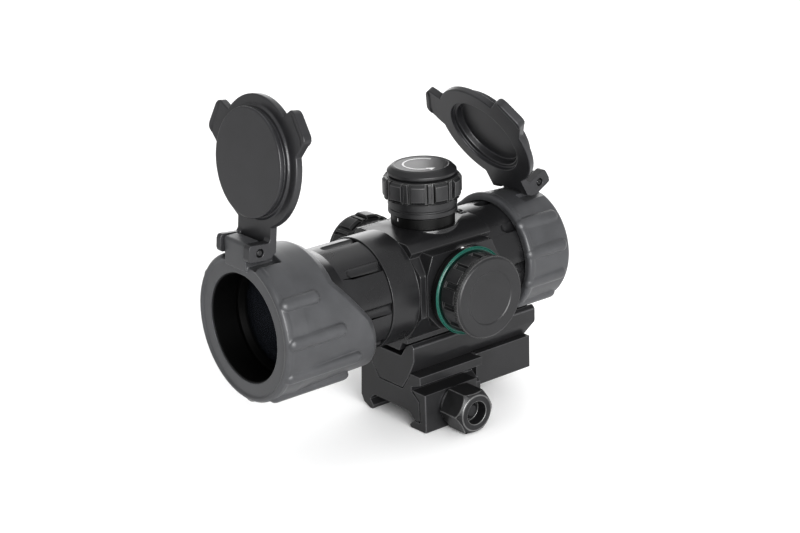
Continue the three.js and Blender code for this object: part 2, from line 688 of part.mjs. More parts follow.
function addMount(group) {
  const mount = new THREE.Group();
  mount.position.y = TURRET_Y;
  group.add(mount);
  addPiece(mount, 'riser_block', riserBlock(), ANODISED);
  addPiece(mount, 'rail_base', railBase(), ANODISED);
  addPiece(mount, 'clamp_plate', clampPlate(), ANODISED);
  const bolt = new THREE.Group();
  bolt.position.set(0, BOLT_Y, BOLT_Z);
  bolt.rotation.z = -Math.PI / 2;
  mount.add(bolt);
  addPiece(bolt, 'cross_bolt', turned([
    [0, -18.4], [3.2, -18.4], [4.4, -17.4], [4.4, -15.2], [BOLT_RADIUS, -15.2],
    [BOLT_RADIUS, 23.6], [1.8, 24.4], [0, 24.6],
  ], MEDIUM), STEEL);
  addPiece(bolt, 'clamp_washer', ringSolid(6.0, 2.8, 16.5, 17.5, MEDIUM), BRIGHT_STEEL);
  addPiece(bolt, 'clamp_nut', clampNut(), STEEL);
  const places = [
    ['mount_screw_front', -9.0, 6.9, capScrew(2.9, 3.2, 1.5, 15.9)],
    ['mount_screw_rear', 8.0, 6.9, capScrew(2.9, 3.2, 1.5, 15.9)],
    ['base_screw_front', 15.0, 2.5, capScrew(2.8, 2.0, 1.5, 10.2)],
    ['base_screw_rear', 27.0, 2.5, capScrew(2.8, 2.0, 1.5, 10.2)],
  ];
  for (const [name, y, z, screw] of places) {
    const mesh = addPiece(mount, name, screw, STEEL);
    mesh.rotation.x = Math.PI / 2;
    mesh.position.set(0, y, z);
  }
}

// ---- Assembly ------------------------------------------------------------------------------
const sight = new THREE.Group();
const optic = new THREE.Group();
optic.position.set(0, TURRET_Y, OPTIC_HEIGHT);
sight.add(optic);
addOptics(optic);
addCover(optic, 'front', FRONT_HINGE, -1, frontSleeve());
addCover(optic, 'rear', REAR_HINGE, 1, rearSleeve());
addTurrets(optic);
addKnob(optic);
addMount(sight);

export default sight;
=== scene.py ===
"""Finished looks of a tube red dot sight on a riser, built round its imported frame.

Lengths inside the classes are in millimetres. Each assembly draws its pieces in a local frame of
its own (the optic's, a hinge's, a turret's, the bolt's or the mount's), and a Placement takes
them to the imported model's frame in metres.
"""

import json
import logging
import math
from dataclasses import dataclass, field
from enum import Enum
from typing import Sequence

import bmesh
import bpy
from mathutils import Matrix, Vector


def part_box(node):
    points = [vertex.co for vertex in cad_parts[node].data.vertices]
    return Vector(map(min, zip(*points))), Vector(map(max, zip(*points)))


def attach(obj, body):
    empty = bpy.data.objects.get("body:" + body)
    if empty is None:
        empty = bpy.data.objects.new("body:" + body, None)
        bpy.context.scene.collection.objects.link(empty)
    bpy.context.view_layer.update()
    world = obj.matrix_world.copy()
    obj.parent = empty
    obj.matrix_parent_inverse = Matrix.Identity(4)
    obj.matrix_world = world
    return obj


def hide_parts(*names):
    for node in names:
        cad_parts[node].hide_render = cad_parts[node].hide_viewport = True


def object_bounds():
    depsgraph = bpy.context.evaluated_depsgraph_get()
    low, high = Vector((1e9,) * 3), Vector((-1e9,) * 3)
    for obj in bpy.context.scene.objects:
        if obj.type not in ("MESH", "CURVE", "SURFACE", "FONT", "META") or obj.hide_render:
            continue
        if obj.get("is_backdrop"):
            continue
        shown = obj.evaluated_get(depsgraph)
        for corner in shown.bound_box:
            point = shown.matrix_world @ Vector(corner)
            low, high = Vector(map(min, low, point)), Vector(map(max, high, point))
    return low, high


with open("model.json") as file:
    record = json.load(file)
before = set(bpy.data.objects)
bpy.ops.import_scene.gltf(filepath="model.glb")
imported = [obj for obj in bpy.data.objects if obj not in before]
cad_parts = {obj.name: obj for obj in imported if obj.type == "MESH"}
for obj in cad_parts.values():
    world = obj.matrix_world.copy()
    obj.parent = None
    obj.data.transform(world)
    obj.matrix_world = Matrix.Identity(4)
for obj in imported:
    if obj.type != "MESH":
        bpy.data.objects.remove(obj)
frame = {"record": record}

LOG = logging.getLogger("sight")
METRE = 0.001
ROUND = 128
SMALL_ROUND = 64

Point = tuple[float, float]
Colour = tuple[float, float, float]


class Axis(Enum):
    """The direction that a turned or drawn-out shape runs along."""

    X = 0
    Y = 1
    Z = 2

    def from_lathe(self) -> Matrix:
        """Turns the lathe's own Y onto this axis.

        Returns:
            The turn.
        """
        if self is Axis.X:
            return Matrix.Rotation(math.radians(-90), 4, "Z")
        if self is Axis.Z:
            return Matrix.Rotation(math.radians(90), 4, "X")
        return Matrix.Identity(4)

    def corner(self, a: float, b: float, along: float) -> Vector:
        """Places an outline's point at a distance along this axis.

        Args:
            a: The point's first coordinate across the axis.
            b: Its second coordinate.
            along: The distance along the axis.

        Returns:
            The point.
        """
        if self is Axis.X:
            return Vector((along, a, b))
        if self is Axis.Y:
            return Vector((a, along, b))
        return Vector((a, b, along))


def arc(centre: Point, radius: float, start: float, end: float, steps: int) -> list[Point]:
    """Lists the points of a circular arc.

    Args:
        centre: The arc's centre.
        radius: Its radius.
        start: The first point's angle, in degrees.
        end: The last point's angle, in degrees.
        steps: How many chords it has.

    Returns:
        The points, both ends included.
    """
    turns = [math.radians(start + (end - start) * i / steps) for i in range(steps + 1)]
    return [(centre[0] + radius * math.cos(t), centre[1] + radius * math.sin(t)) for t in turns]


def eased(points: Sequence[Point], radius: float, steps: int = 4) -> list[Point]:
    """Rounds the corners of a closed outline.

    Args:
        points: The outline. Points on the turning axis, where the first value is 0, stay sharp.
        radius: The rounding's reach from each corner, less where a side is short.
        steps: How many chords each rounding has.

    Returns:
        The rounded outline.
    """
    result: list[Point] = []
    for i, here in enumerate(points):
        before = Vector(points[i - 1]) - Vector(here)
        after = Vector(points[(i + 1) % len(points)]) - Vector(here)
        reach = min(radius, 0.45 * before.length, 0.45 * after.length)
        straight = before.angle(after, math.pi) > math.radians(172)
        if abs(here[0]) < 1e-6 or straight or reach < 1e-4:
            result.append(here)
            continue
        first = Vector(here) + before.normalized() * reach
        last = Vector(here) + after.normalized() * reach
        for k in range(steps + 1):
            t = k / steps
            mixed = first * (1 - t) ** 2 + Vector(here) * 2 * t * (1 - t) + last * t**2
            result.append((mixed.x, mixed.y))
    return result


def mirrored_outline(right: Sequence[Point]) -> list[Point]:
    """Returns the whole outline whose right half is given from the top to the bottom."""
    return [*right, *[(-a, b) for a, b in reversed(right)]]


def lobed(count: int, stops: Sequence[tuple[float, float, float]]) -> list[Point]:
    """Draws a round outline of repeated lands at set radii.

    Args:
        count: How many times the pattern repeats round the circle.
        stops: Each land's start and end, as shares of the pitch, and its radius.

    Returns:
        The outline, with a chord every two degrees or so.
    """
    pitch = 360 / count
    points: list[Point] = []
    for i in range(count):
        for start, end, radius in stops:
            steps = max(1, round((end - start) * pitch / 2.5))
            points += arc((0, 0), radius, (i + start) * pitch, (i + end) * pitch, steps)
    return points


class Shape:
    """A closed mesh under construction, in millimetres."""

    def __init__(self, mesh: bpy.types.Mesh) -> None:
        """Holds a mesh that this shape owns."""
        self.mesh = mesh

    @classmethod
    def from_bmesh(cls, work: bmesh.types.BMesh) -> "Shape":
        """Takes the faces of a bmesh, with their normals facing out, and frees it.

        Args:
            work: The bmesh.

        Returns:
            The shape.
        """
        bmesh.ops.recalc_face_normals(work, faces=work.faces)
        mesh = bpy.data.meshes.new("shape")
        work.to_mesh(mesh)
        work.free()
        return cls(mesh)

    @classmethod
    def lathe(
        cls, profile: Sequence[Point], axis: Axis = Axis.Y, segments: int = ROUND, ease: float = 0.0
    ) -> "Shape":
        """Turns a closed profile of (radius, height) points about an axis.

        Args:
            profile: The profile.
            axis: What it is turned about.
            segments: How many facets go round.
            ease: How far each corner is rounded.

        Returns:
            The turned shape.
        """
        points = eased(profile, ease) if ease > 0 else list(profile)
        work = bmesh.new()
        rings = []
        for radius, height in points:
            if radius < 1e-6:
                rings.append([work.verts.new((0, height, 0))] * segments)
                continue
            turns = [2 * math.pi * k / segments for k in range(segments)]
            rings.append(
                [work.verts.new((radius * math.cos(t), height, radius * math.sin(t))) for t in turns]
            )
        for i, ring in enumerate(rings):
            following = rings[(i + 1) % len(rings)]
            for k in range(segments):
                m = (k + 1) % segments
                corners = dict.fromkeys([ring[k], ring[m], following[m], following[k]])
                if len(corners) > 2:
                    work.faces.new(list(corners))
        bmesh.ops.transform(work, matrix=axis.from_lathe(), verts=work.verts)
        return cls.from_bmesh(work)

    @classmethod
    def prism(cls, outline: Sequence[Point], start: float, end: float, axis: Axis) -> "Shape":
        """Draws a closed outline out along an axis.

        Args:
            outline: Its points across the axis.
            start: Where the prism starts along the axis.
            end: Where it ends.
            axis: The axis.

        Returns:
            The prism.
        """
        work = bmesh.new()
        near = [work.verts.new(axis.corner(a, b, start)) for a, b in outline]
        far = [work.verts.new(axis.corner(a, b, end)) for a, b in outline]
        work.faces.new(near)
        work.faces.new(far)
        for i in range(len(near)):
            k = (i + 1) % len(near)
            work.faces.new([near[i], near[k], far[k], far[i]])
        return cls.from_bmesh(work)

    @classmethod
    def block(cls, low: Sequence[float], high: Sequence[float]) -> "Shape":
        """Returns the box between two corners."""
        outline = [(low[0], low[2]), (high[0], low[2]), (high[0], high[2]), (low[0], high[2])]
        return cls.prism(outline, low[1], high[1], Axis.Y)

    @classmethod
    def rod(
        cls, radius: float, start: float, end: float, axis: Axis = Axis.Y, segments: int = ROUND
    ) -> "Shape":
        """Returns a plain rod of a radius between two heights along an axis."""
        return cls.lathe([(0, start), (radius, start), (radius, end), (0, end)], axis, segments)

    @classmethod
    def ring(cls, outer: float, inner: float, start: float, end: float, ease: float) -> "Shape":
        """Returns a ring about Y with rounded edges."""
        return cls.lathe([(inner, start), (outer, start), (outer, end), (inner, end)], ease=ease)

    @classmethod
    def capsule(cls, start: float, end: float, width: float, height: float) -> "Shape":
        """Draws a bar along Y with domed ends.

        Args:
            start: Where the bar starts.
            end: Where it ends.
            width: Half its width in X.
            height: Half its height in Z.

        Returns:
            The bar.
        """
        rear = arc((0, end - width), width, 0, 90, 8)
        front = arc((0, start + width), width, -90, 0, 8)
        bar = cls.lathe([*front, *rear], segments=24)
        return bar.placed(Matrix.Diagonal((1, 1, height / width, 1)))

    @classmethod
    def sweep(cls, path: Sequence[Vector], radius: float, sides: int = 10) -> "Shape":
        """Draws a round wire along a path.

        Args:
            path: The points of its centre line.
            radius: The wire's radius.
            sides: How many facets go round it.

        Returns:
            The wire, closed at both ends.
        """
        work = bmesh.new()
        rings = []
        normal = (path[1] - path[0]).orthogonal().normalized()
        for i, point in enumerate(path):
            ahead = (path[min(i + 1, len(path) - 1)] - path[max(i - 1, 0)]).normalized()
            normal = (normal - ahead * normal.dot(ahead)).normalized()
            side = ahead.cross(normal)
            turns = [2 * math.pi * k / sides for k in range(sides)]
            rings.append(
                [
                    work.verts.new(point + radius * (normal * math.cos(t) + side * math.sin(t)))
                    for t in turns
                ]
            )
        for ring, following in zip(rings, rings[1:]):
            for k in range(sides):
                m = (k + 1) % sides
                work.faces.new([ring[k], ring[m], following[m], following[k]])
        work.faces.new(rings[0])
        work.faces.new(rings[-1])
        return cls.from_bmesh(work)

    def placed(self, matrix: Matrix) -> "Shape":
        """Moves a copy, and keeps it facing out after a mirror.

        Args:
            matrix: The move.

        Returns:
            The moved copy.
        """
        mesh = self.mesh.copy()
        mesh.transform(matrix)
        if matrix.determinant() < 0:
            mesh.flip_normals()
        return Shape(mesh)

    def shifted(self, x: float = 0, y: float = 0, z: float = 0) -> "Shape":
        """Returns a copy moved along the axes."""
        return self.placed(Matrix.Translation((x, y, z)))

    def spun(self, degrees: float, about: str = "Y") -> "Shape":
        """Returns a copy turned about an axis through the origin."""
        return self.placed(Matrix.Rotation(math.radians(degrees), 4, about))

    def mirrored(self) -> "Shape":
        """Returns the copy on the other side of the X = 0 plane."""
        return self.placed(Matrix.Diagonal((-1, 1, 1, 1)))

    def _evaluated(self, build: Sequence[dict], tools: Sequence["Shape"] = ()) -> "Shape":
        """Applies a stack of modifiers.

        Args:
            build: Each modifier's kind and settings.
            tools: The shapes that Boolean steps work with, in order.

        Returns:
            The result.
        """
        collection = bpy.context.scene.collection
        base = bpy.data.objects.new("work", self.mesh)
        collection.objects.link(base)
        helpers = []
        for step in build:
            settings = dict(step)
            modifier = base.modifiers.new("step", settings.pop("kind"))
            if modifier.type == "BOOLEAN":
                helper = bpy.data.objects.new("tool", tools[len(helpers)].mesh)
                collection.objects.link(helper)
                helpers.append(helper)
                modifier.object = helper
            for key, value in settings.items():
                setattr(modifier, key, value)
        graph = bpy.context.evaluated_depsgraph_get()
        mesh = bpy.data.meshes.new_from_object(base.evaluated_get(graph))
        for item in (base, *helpers):
            bpy.data.objects.remove(item)
        return Shape(mesh)

    def _combined(self, others: Sequence["Shape"], operation: str) -> "Shape":
        """Returns this shape joined with, cut by or kept inside the others, one at a time."""
        step = {"kind": "BOOLEAN", "operation": operation, "solver": "MANIFOLD"}
        return self._evaluated([step] * len(others), others)

    def joined(self, *others: "Shape") -> "Shape":
        """Returns this shape and the others as one solid."""
        return self._combined(others, "UNION")

    def cut(self, *others: "Shape") -> "Shape":
        """Returns this shape with the others taken away."""
        return self._combined(others, "DIFFERENCE")

    def within(self, *others: "Shape") -> "Shape":
        """Returns what this shape shares with the others."""
        return self._combined(others, "INTERSECT")

    def chamfered(self, width: float = 0.2, segments: int = 2, angle: float = 32) -> "Shape":
        """Returns a copy whose sharp edges are rounded and take the finish's edge tone.

        Args:
            width: The rounding's width.
            segments: How many facets it has.
            angle: How sharp an edge has to be, in degrees.

        Returns:
            The rounded shape.
        """
        holder = self.mesh
        while len(holder.materials) < 2:
            holder.materials.append(None)
        bevel = {
            "kind": "BEVEL",
            "width": width,
            "segments": segments,
            "limit_method": "ANGLE",
            "angle_limit": math.radians(angle),
            "use_clamp_overlap": False,
            "miter_outer": "MITER_ARC",
            "material": 1,
        }
        return self._evaluated([bevel])

    def melted(self, voxel: float = 0.25, rounds: int = 5) -> "Shape":
        """Returns a copy with every edge and inner corner softened, as moulding does.

        Args:
            voxel: The size of the grid that it is rebuilt on.
            rounds: How many times the new surface is relaxed.

        Returns:
            The softened shape.
        """
        remesh = {"kind": "REMESH", "mode": "VOXEL", "voxel_size": voxel, "use_smooth_shade": True}
        relax = {"kind": "SMOOTH", "factor": 0.5, "iterations": rounds}
        return self._evaluated([remesh, relax])


@dataclass(frozen=True)
class Finish:
    """A procedural finish with a tone for the faces and a lighter one for the rounded edges, which stands
    partly for wear and partly for a painted highlight along the edges.
    """

    name: str
    slot: str
    colour: Colour
    edge: Colour
    metallic: float
    roughness: float
    specular: float = 0.5
    grain: float = 0.01
    bite: float = 0.25
    grain_size: float = 0.12
    mottle: float = 0.25
    mottle_size: float = 6.0
    coat: float = 0.0
    sheen: float = 0.0
    anisotropic: float = 0.0

    def _material(self, label: str, colour: Colour, roughness: float) -> bpy.types.Material:
        """Builds or finds one of the finish's two materials.

        Args:
            label: The material's name.
            colour: Its base colour.
            roughness: Its middle roughness.

        Returns:
            The material.
        """
        found = bpy.data.materials.get(label)
        if found:
            return found
        material = bpy.data.materials.new(label)
        material.use_nodes = True
        nodes, links = material.node_tree.nodes, material.node_tree.links
        shader = nodes["Principled BSDF"]
        shader.inputs["Metallic"].default_value = self.metallic
        shader.inputs["Specular IOR Level"].default_value = self.specular
        shader.inputs["Coat Weight"].default_value = self.coat
        shader.inputs["Coat Roughness"].default_value = 0.25
        shader.inputs["Sheen Weight"].default_value = self.sheen
        shader.inputs["Sheen Roughness"].default_value = 0.4
        shader.inputs["Anisotropic"].default_value = self.anisotropic
        place = nodes.new("ShaderNodeTexCoord")
        cloud = nodes.new("ShaderNodeTexNoise")
        cloud.inputs["Scale"].default_value = 1 / (self.mottle_size * METRE)
        cloud.inputs["Detail"].default_value = 4.0
        grain = nodes.new("ShaderNodeTexNoise")
        grain.inputs["Scale"].default_value = 1 / (self.grain_size * METRE * 4)
        grain.inputs["Detail"].default_value = 2.0
        for texture in (cloud, grain):
            links.new(place.outputs["Object"], texture.inputs["Vector"])
        ramp = nodes.new("ShaderNodeValToRGB")
        ramp.color_ramp.elements[0].position = 0.3
        ramp.color_ramp.elements[1].position = 0.7
        low = [c * (1 - self.mottle) for c in colour]
        high = [c * (1 + self.mottle) for c in colour]
        ramp.color_ramp.elements[0].color = (*low, 1)
        ramp.color_ramp.elements[1].color = (*high, 1)
        links.new(cloud.outputs["Fac"], ramp.inputs["Fac"])
        links.new(ramp.outputs["Color"], shader.inputs["Base Color"])
        spread = nodes.new("ShaderNodeMapRange")
        spread.inputs["From Min"].default_value = 0.3
        spread.inputs["From Max"].default_value = 0.7
        spread.inputs["To Min"].default_value = max(0.05, roughness - 0.03)
        spread.inputs["To Max"].default_value = min(1.0, roughness + 0.03)
        links.new(cloud.outputs["Fac"], spread.inputs["Value"])
        links.new(spread.outputs["Result"], shader.inputs["Roughness"])
        bump = nodes.new("ShaderNodeBump")
        bump.inputs["Distance"].default_value = self.grain * METRE
        bump.inputs["Strength"].default_value = self.bite
        links.new(grain.outputs["Fac"], bump.inputs["Height"])
        links.new(bump.outputs["Normal"], shader.inputs["Normal"])
        return material

    def dress(self, mesh: bpy.types.Mesh) -> None:
        """Gives a mesh the two materials, faces first and edges second.

        Args:
            mesh: The mesh to dress.
        """
        body = self._material(self.name, self.colour, self.roughness)
        # The edge material: a lighter tone on the bevels, partly wear and partly a painted highlight.
        edge = self._material(self.name + "_edge", self.edge, max(0.2, self.roughness - 0.08))
        slots = len(mesh.materials)
        for i, material in enumerate([body, edge]):
            if i < slots:
                mesh.materials[i] = material
            elif i == 0 or slots > 1:
                mesh.materials.append(material)


@dataclass(frozen=True)
class GlassFinish:
    """A coated optical glass."""

    name: str = "coated_glass"
    slot: str = "glass"
    tint: Colour = (0.05, 0.052, 0.06)
    roughness: float = 0.0

    def dress(self, mesh: bpy.types.Mesh) -> None:
        """Gives a mesh the glass.

        Args:
            mesh: The mesh to dress.
        """
        material = bpy.data.materials.get(self.name)
        if not material:
            material = bpy.data.materials.new(self.name)
            material.use_nodes = True
            shader = material.node_tree.nodes["Principled BSDF"]
            shader.inputs["Base Color"].default_value = (*self.tint, 1)
            shader.inputs["Roughness"].default_value = self.roughness
            shader.inputs["Transmission Weight"].default_value = 0.6
            shader.inputs["IOR"].default_value = 1.52
            shader.inputs["Specular IOR Level"].default_value = 0.9
            shader.inputs["Coat Weight"].default_value = 0.6
            shader.inputs["Coat Tint"].default_value = (0.75, 0.85, 1.0, 1)
        mesh.materials.clear()
        mesh.materials.append(material)


ANODISED = Finish(
    "black_anodised", "anodised", (0.016, 0.016, 0.017), (0.034, 0.034, 0.035), 0.0, 0.29, 0.55,
    grain=0.0003, grain_size=0.04, mottle=0.12, mottle_size=14.0,
)
MOUNT_BLACK = Finish(
    "blasted_anodised", "anodised", (0.02, 0.02, 0.021), (0.06, 0.06, 0.062), 0.0, 0.36, 0.5,
    grain=0.0006, grain_size=0.04, mottle=0.15, mottle_size=12.0,
)
DIAL_BLACK = Finish(
    "dial_anodised", "anodised", (0.018, 0.018, 0.019), (0.075, 0.075, 0.075), 0.0, 0.38, 0.55,
    grain=0.0006, grain_size=0.04, mottle=0.12, mottle_size=10.0,
)
INNER_BLACK = Finish(
    "inner_black", "black_gloss", (0.004, 0.004, 0.004), (0.02, 0.02, 0.02), 0.0, 0.35, 0.3,
    grain=0.0003, grain_size=0.04, mottle_size=12.0,
)
# Near-black, low-sheen tone for the inside of the front opening, its retainer and the inner tube: painted
# shade that makes the bore read darker than the anodised tube's own black.
BORE_PAINTED_SHADE = Finish(
    "bore_painted_shade", "black_gloss", (0.002, 0.002, 0.002), (0.012, 0.012, 0.012), 0.0, 0.5, 0.12,
    grain=0.0003, grain_size=0.04, mottle_size=12.0,
)
RUBBER = Finish(
    "moulded_rubber", "rubber", (0.054, 0.055, 0.058), (0.06, 0.06, 0.062), 0.0, 0.4, 0.55,
    grain=0.008, bite=0.4, grain_size=0.2, mottle=0.1, sheen=0.05,
)
PLASTIC = Finish(
    "moulded_plastic", "plastic", (0.026, 0.026, 0.028), (0.05, 0.05, 0.052), 0.0, 0.33, 0.55,
    grain=0.004, grain_size=0.2, mottle=0.1,
)
STEEL = Finish(
    "blackened_steel", "steel", (0.022, 0.022, 0.023), (0.12, 0.12, 0.12), 0.3, 0.36, 0.6,
    grain=0.012,
)
BRIGHT = Finish(
    "turned_steel", "bright_steel", (0.35, 0.35, 0.36), (0.6, 0.6, 0.6), 1.0, 0.32,
    grain=0.006, anisotropic=0.4,
)
# The green's lighter edge tone is a painted highlight: it lays thin bright lines along the index ring's
# rounded edges.
GREEN = Finish(
    "green_enamel", "green", (0.001, 0.016, 0.012), (0.006, 0.10, 0.075), 0.0, 0.4, mottle=0.15,
    coat=0.3,
)
RED_RESIN = Finish("red_resin", "emitter", (0.3, 0.02, 0.02), (0.4, 0.05, 0.05), 0.0, 0.3)
WHITE_PAINT = Finish("white_paint", "bright_steel", (0.62, 0.62, 0.62), (0.7, 0.7, 0.7), 0.0, 0.5)
COATED_GLASS = GlassFinish()


@dataclass(frozen=True)
class Placement:
    """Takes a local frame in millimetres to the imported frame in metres."""

    origin: Vector
    turn: Matrix = field(default_factory=lambda: Matrix.Identity(4))

    def matrix(self) -> Matrix:
        """Returns the whole move."""
        return Matrix.Scale(METRE, 4) @ Matrix.Translation(self.origin) @ self.turn

    def inside(self, offset: Sequence[float], turn: Matrix) -> "Placement":
        """Returns the placement of a frame held inside this one."""
        return Placement(self.origin + self.turn.to_3x3() @ Vector(offset), self.turn @ turn)


@dataclass
class Assembly:
    """What every sub-assembly shares: where it sits and how it hands a piece over."""

    place: Placement

    def install(
        self,
        shape: Shape,
        name: str,
        body: str,
        finish: Finish | GlassFinish,
        nodes: Sequence[str] = (),
        place: Placement | None = None,
        sharp: float = 38,
    ) -> bpy.types.Object:
        """Puts a finished piece on its body.

        Args:
            shape: The piece's shape, in the local frame.
            name: The piece's name.
            body: The body that it rides on.
            finish: Its finish.
            nodes: The frame's nodes that it stands for.
            place: Its placement, if it isn't the assembly's own.
            sharp: The angle above which an edge stays sharp in shading, in degrees.

        Returns:
            The piece.
        """
        mesh = shape.placed((place or self.place).matrix()).mesh
        mesh.name = name
        finish.dress(mesh)
        mesh.polygons.foreach_set("use_smooth", [True] * len(mesh.polygons))
        mesh.set_sharp_from_angle(angle=math.radians(sharp))
        piece = bpy.data.objects.new(name, mesh)
        bpy.context.scene.collection.objects.link(piece)
        weighted = piece.modifiers.new("even_shading", "WEIGHTED_NORMAL")
        weighted.keep_sharp = True
        weighted.weight = 90
        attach(piece, body)
        if nodes:
            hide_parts(*nodes)
        LOG.info("%s: %d faces on %s", name, len(mesh.polygons), body)
        return piece


@dataclass
class SightTube(Assembly):
    """The machined tube: the housing, both barrels, the lenses and their rings."""

    tube_radius: float = 17.2
    barrel_radius: float = 16.8
    bore_radius: float = 15.0
    seat_radius: float = 16.2
    spigot_radius: float = 16.0
    collar_front: float = -26.0
    housing_front: float = -16.0
    housing_rear: float = 15.0
    top_face: float = 16.8
    side_face: float = 18.3
    bell_radius: float = 19.2
    bell_front: float = -62.5
    shade_front: float = -66.5
    rear_end: float = 41.6
    groove_count: int = 8
    groove_radius: float = 1.5
    groove_depth: float = 0.75

    def housing(self) -> Shape:
        """Draws the housing block with its tube, side bosses, bore and turret holes.

        Returns:
            The shape, in its local frame.
        """
        section = mirrored_outline(
            [
                (8.1, 16.8), (12.0, 15.0), (13.8, 13.2), (12.8, 11.4), (17.2, 7.6), (17.6, 6.4),
                (17.6, -6.0), (11.4, -13.6), (10.5, -14.6), (10.5, -16.2), (8.2, -16.2), (6.6, -19.2),
            ]
        )
        boss = Shape.prism(
            [
                (-14.0, 7.0), (-11.8, 12.8), (11.4, 12.8), (14.0, 7.0),
                (14.0, -5.5), (9.6, -10.5), (-9.6, -10.5), (-14.0, -5.5),
            ],
            12.0, self.side_face, Axis.X,
        )
        tube = Shape.rod(self.tube_radius, self.collar_front, self.housing_rear)
        block = Shape.prism(section, self.housing_front, self.housing_rear, Axis.Y)
        pad = Shape.rod(10.8, 12.0, self.top_face, Axis.Z)
        body = tube.joined(block, boss, boss.mirrored(), pad)
        top, side, front = self.top_face, self.side_face, self.housing_front
        ramp = [(front, 15.5), (-10.8, top), (-10.8, 20.0), (front, 20.0)]
        return body.cut(
            Shape.prism(ramp, -20.0, 20.0, Axis.X),
            Shape.block((-11.0, -12.6, top), (11.0, 12.6, top + 3)),
            Shape.rod(self.bore_radius, self.collar_front - 1, self.housing_rear + 1),
            Shape.rod(self.seat_radius, self.collar_front - 1, self.collar_front + 4.6),
            Shape.rod(self.seat_radius, self.housing_rear - 4.6, self.housing_rear + 1),
            Shape.rod(6.4, 10.0, top + 1, Axis.Z, SMALL_ROUND),
            Shape.rod(6.4, -side - 1, -10.0, Axis.X, SMALL_ROUND),
            Shape.rod(8.9, 10.0, side + 1, Axis.X, SMALL_ROUND),
            Shape.rod(1.7, -20.0, -15.8, Axis.Z, 24).shifted(y=-9.0),
            Shape.rod(1.7, -20.0, -15.8, Axis.Z, 24).shifted(y=8.0),
            Shape.rod(0.9, top - 1.2, top + 1, Axis.Z, 24).shifted(x=1.3, y=13.4),
        )

    def grooves(self, radius: float, round_end: float, open_end: float) -> list[Shape]:
        """Lists the shallow scoops with one round end that are sunk round a barrel.

        Args:
            radius: The barrel's radius.
            round_end: Where the round end's centre lies.
            open_end: Where the other end runs out.

        Returns:
            The cutting shapes.
        """
        reach = self.groove_radius * 1.5
        lift = radius + reach - self.groove_depth
        steps = arc((0, reach), reach, -90, 0, 10)
        tail = abs(open_end - round_end) + reach + 3
        profile = [*steps, (reach, tail), (0, tail)]
        bar = Shape.lathe(profile, segments=40).shifted(y=-self.groove_radius)
        if open_end < round_end:
            bar = bar.spun(180, "Z")
        bar = bar.shifted(z=lift)
        step = 360 / self.groove_count
        return [bar.shifted(y=round_end).spun(i * step) for i in range(self.groove_count)]

    def front_barrel(self) -> Shape:
        """Draws the front barrel with its bell, spigot and grooves.

        Returns:
            The shape, in its local frame.
        """
        seam = self.collar_front - 0.1
        body = Shape.lathe(
            [
                (15.4, self.collar_front + 4.2), (15.4, -52.0), (17.4, -52.0), (17.4, self.bell_front),
                (16.4, self.bell_front), (16.2, self.shade_front), (16.9, self.shade_front),
                (17.2, self.bell_front - 0.4), (self.bell_radius, self.bell_front - 0.2),
                (self.bell_radius, -47.5),
                (self.barrel_radius, -41.0), (self.barrel_radius, seam), (self.spigot_radius, seam),
                (self.spigot_radius, self.collar_front + 4.2),
            ],
            ease=0.12,
        )
        return body.cut(*self.grooves(self.barrel_radius, -37.6, self.collar_front + 2))

    def rear_barrel(self) -> Shape:
        """Draws the rear barrel with its spigot, lens seat and grooves.

        Returns:
            The shape, in its local frame.
        """
        seam = self.housing_rear + 0.1
        body = Shape.lathe(
            [
                (14.6, self.housing_rear - 4.2), (self.spigot_radius, self.housing_rear - 4.2),
                (self.spigot_radius, seam), (self.barrel_radius, seam),
                (self.barrel_radius, self.rear_end), (15.6, self.rear_end), (15.6, 35.0), (14.6, 35.0),
            ],
            ease=0.12,
        )
        return body.cut(*self.grooves(self.barrel_radius, 21.9, 36.0))

    def lens(self, radius: float, front: float, rear: float, bulge: float) -> Shape:
        """Turns a lens with a domed front and a flatter domed rear.

        Args:
            radius: The lens's radius.
            front: Where its front edge lies.
            rear: Where its rear edge lies.
            bulge: How far the front face stands proud of its edge.

        Returns:
            The lens.
        """
        shares = [i / 12 for i in range(13)]
        near = [(radius * s, front - bulge * (1 - s * s)) for s in shares]
        far = [(radius * s, rear + 0.6 * bulge * (1 - s * s)) for s in reversed(shares)]
        return Shape.lathe([*near, *far])

    def build(self) -> None:
        """Makes and installs every piece of the tube."""
        self.install(self.housing().chamfered(0.22), "housing_body", "sight", ANODISED, ["main_housing"])
        front = self.front_barrel().chamfered(0.12)
        self.install(front, "front_tube", "sight", ANODISED, ["front_barrel"])
        rear = self.rear_barrel().chamfered(0.12)
        self.install(rear, "rear_tube", "sight", ANODISED, ["rear_barrel"])
        objective = self.lens(17.2, -54.9, -52.3, 0.8)
        self.install(objective, "objective_glass", "sight", COATED_GLASS, ["objective_lens"])
        eyepiece = self.lens(15.4, 35.9, 37.4, 0.5)
        self.install(eyepiece, "eyepiece_glass", "sight", COATED_GLASS, ["eyepiece_lens"])
        ring = Shape.lathe(
            [(14.2, -56.0), (14.2, -56.6), (14.9, -58.4), (17.2, -58.4), (17.2, -56.0)], ease=0.15
        )
        self.install(ring, "objective_retainer", "sight", BORE_PAINTED_SHADE, ["objective_ring"])
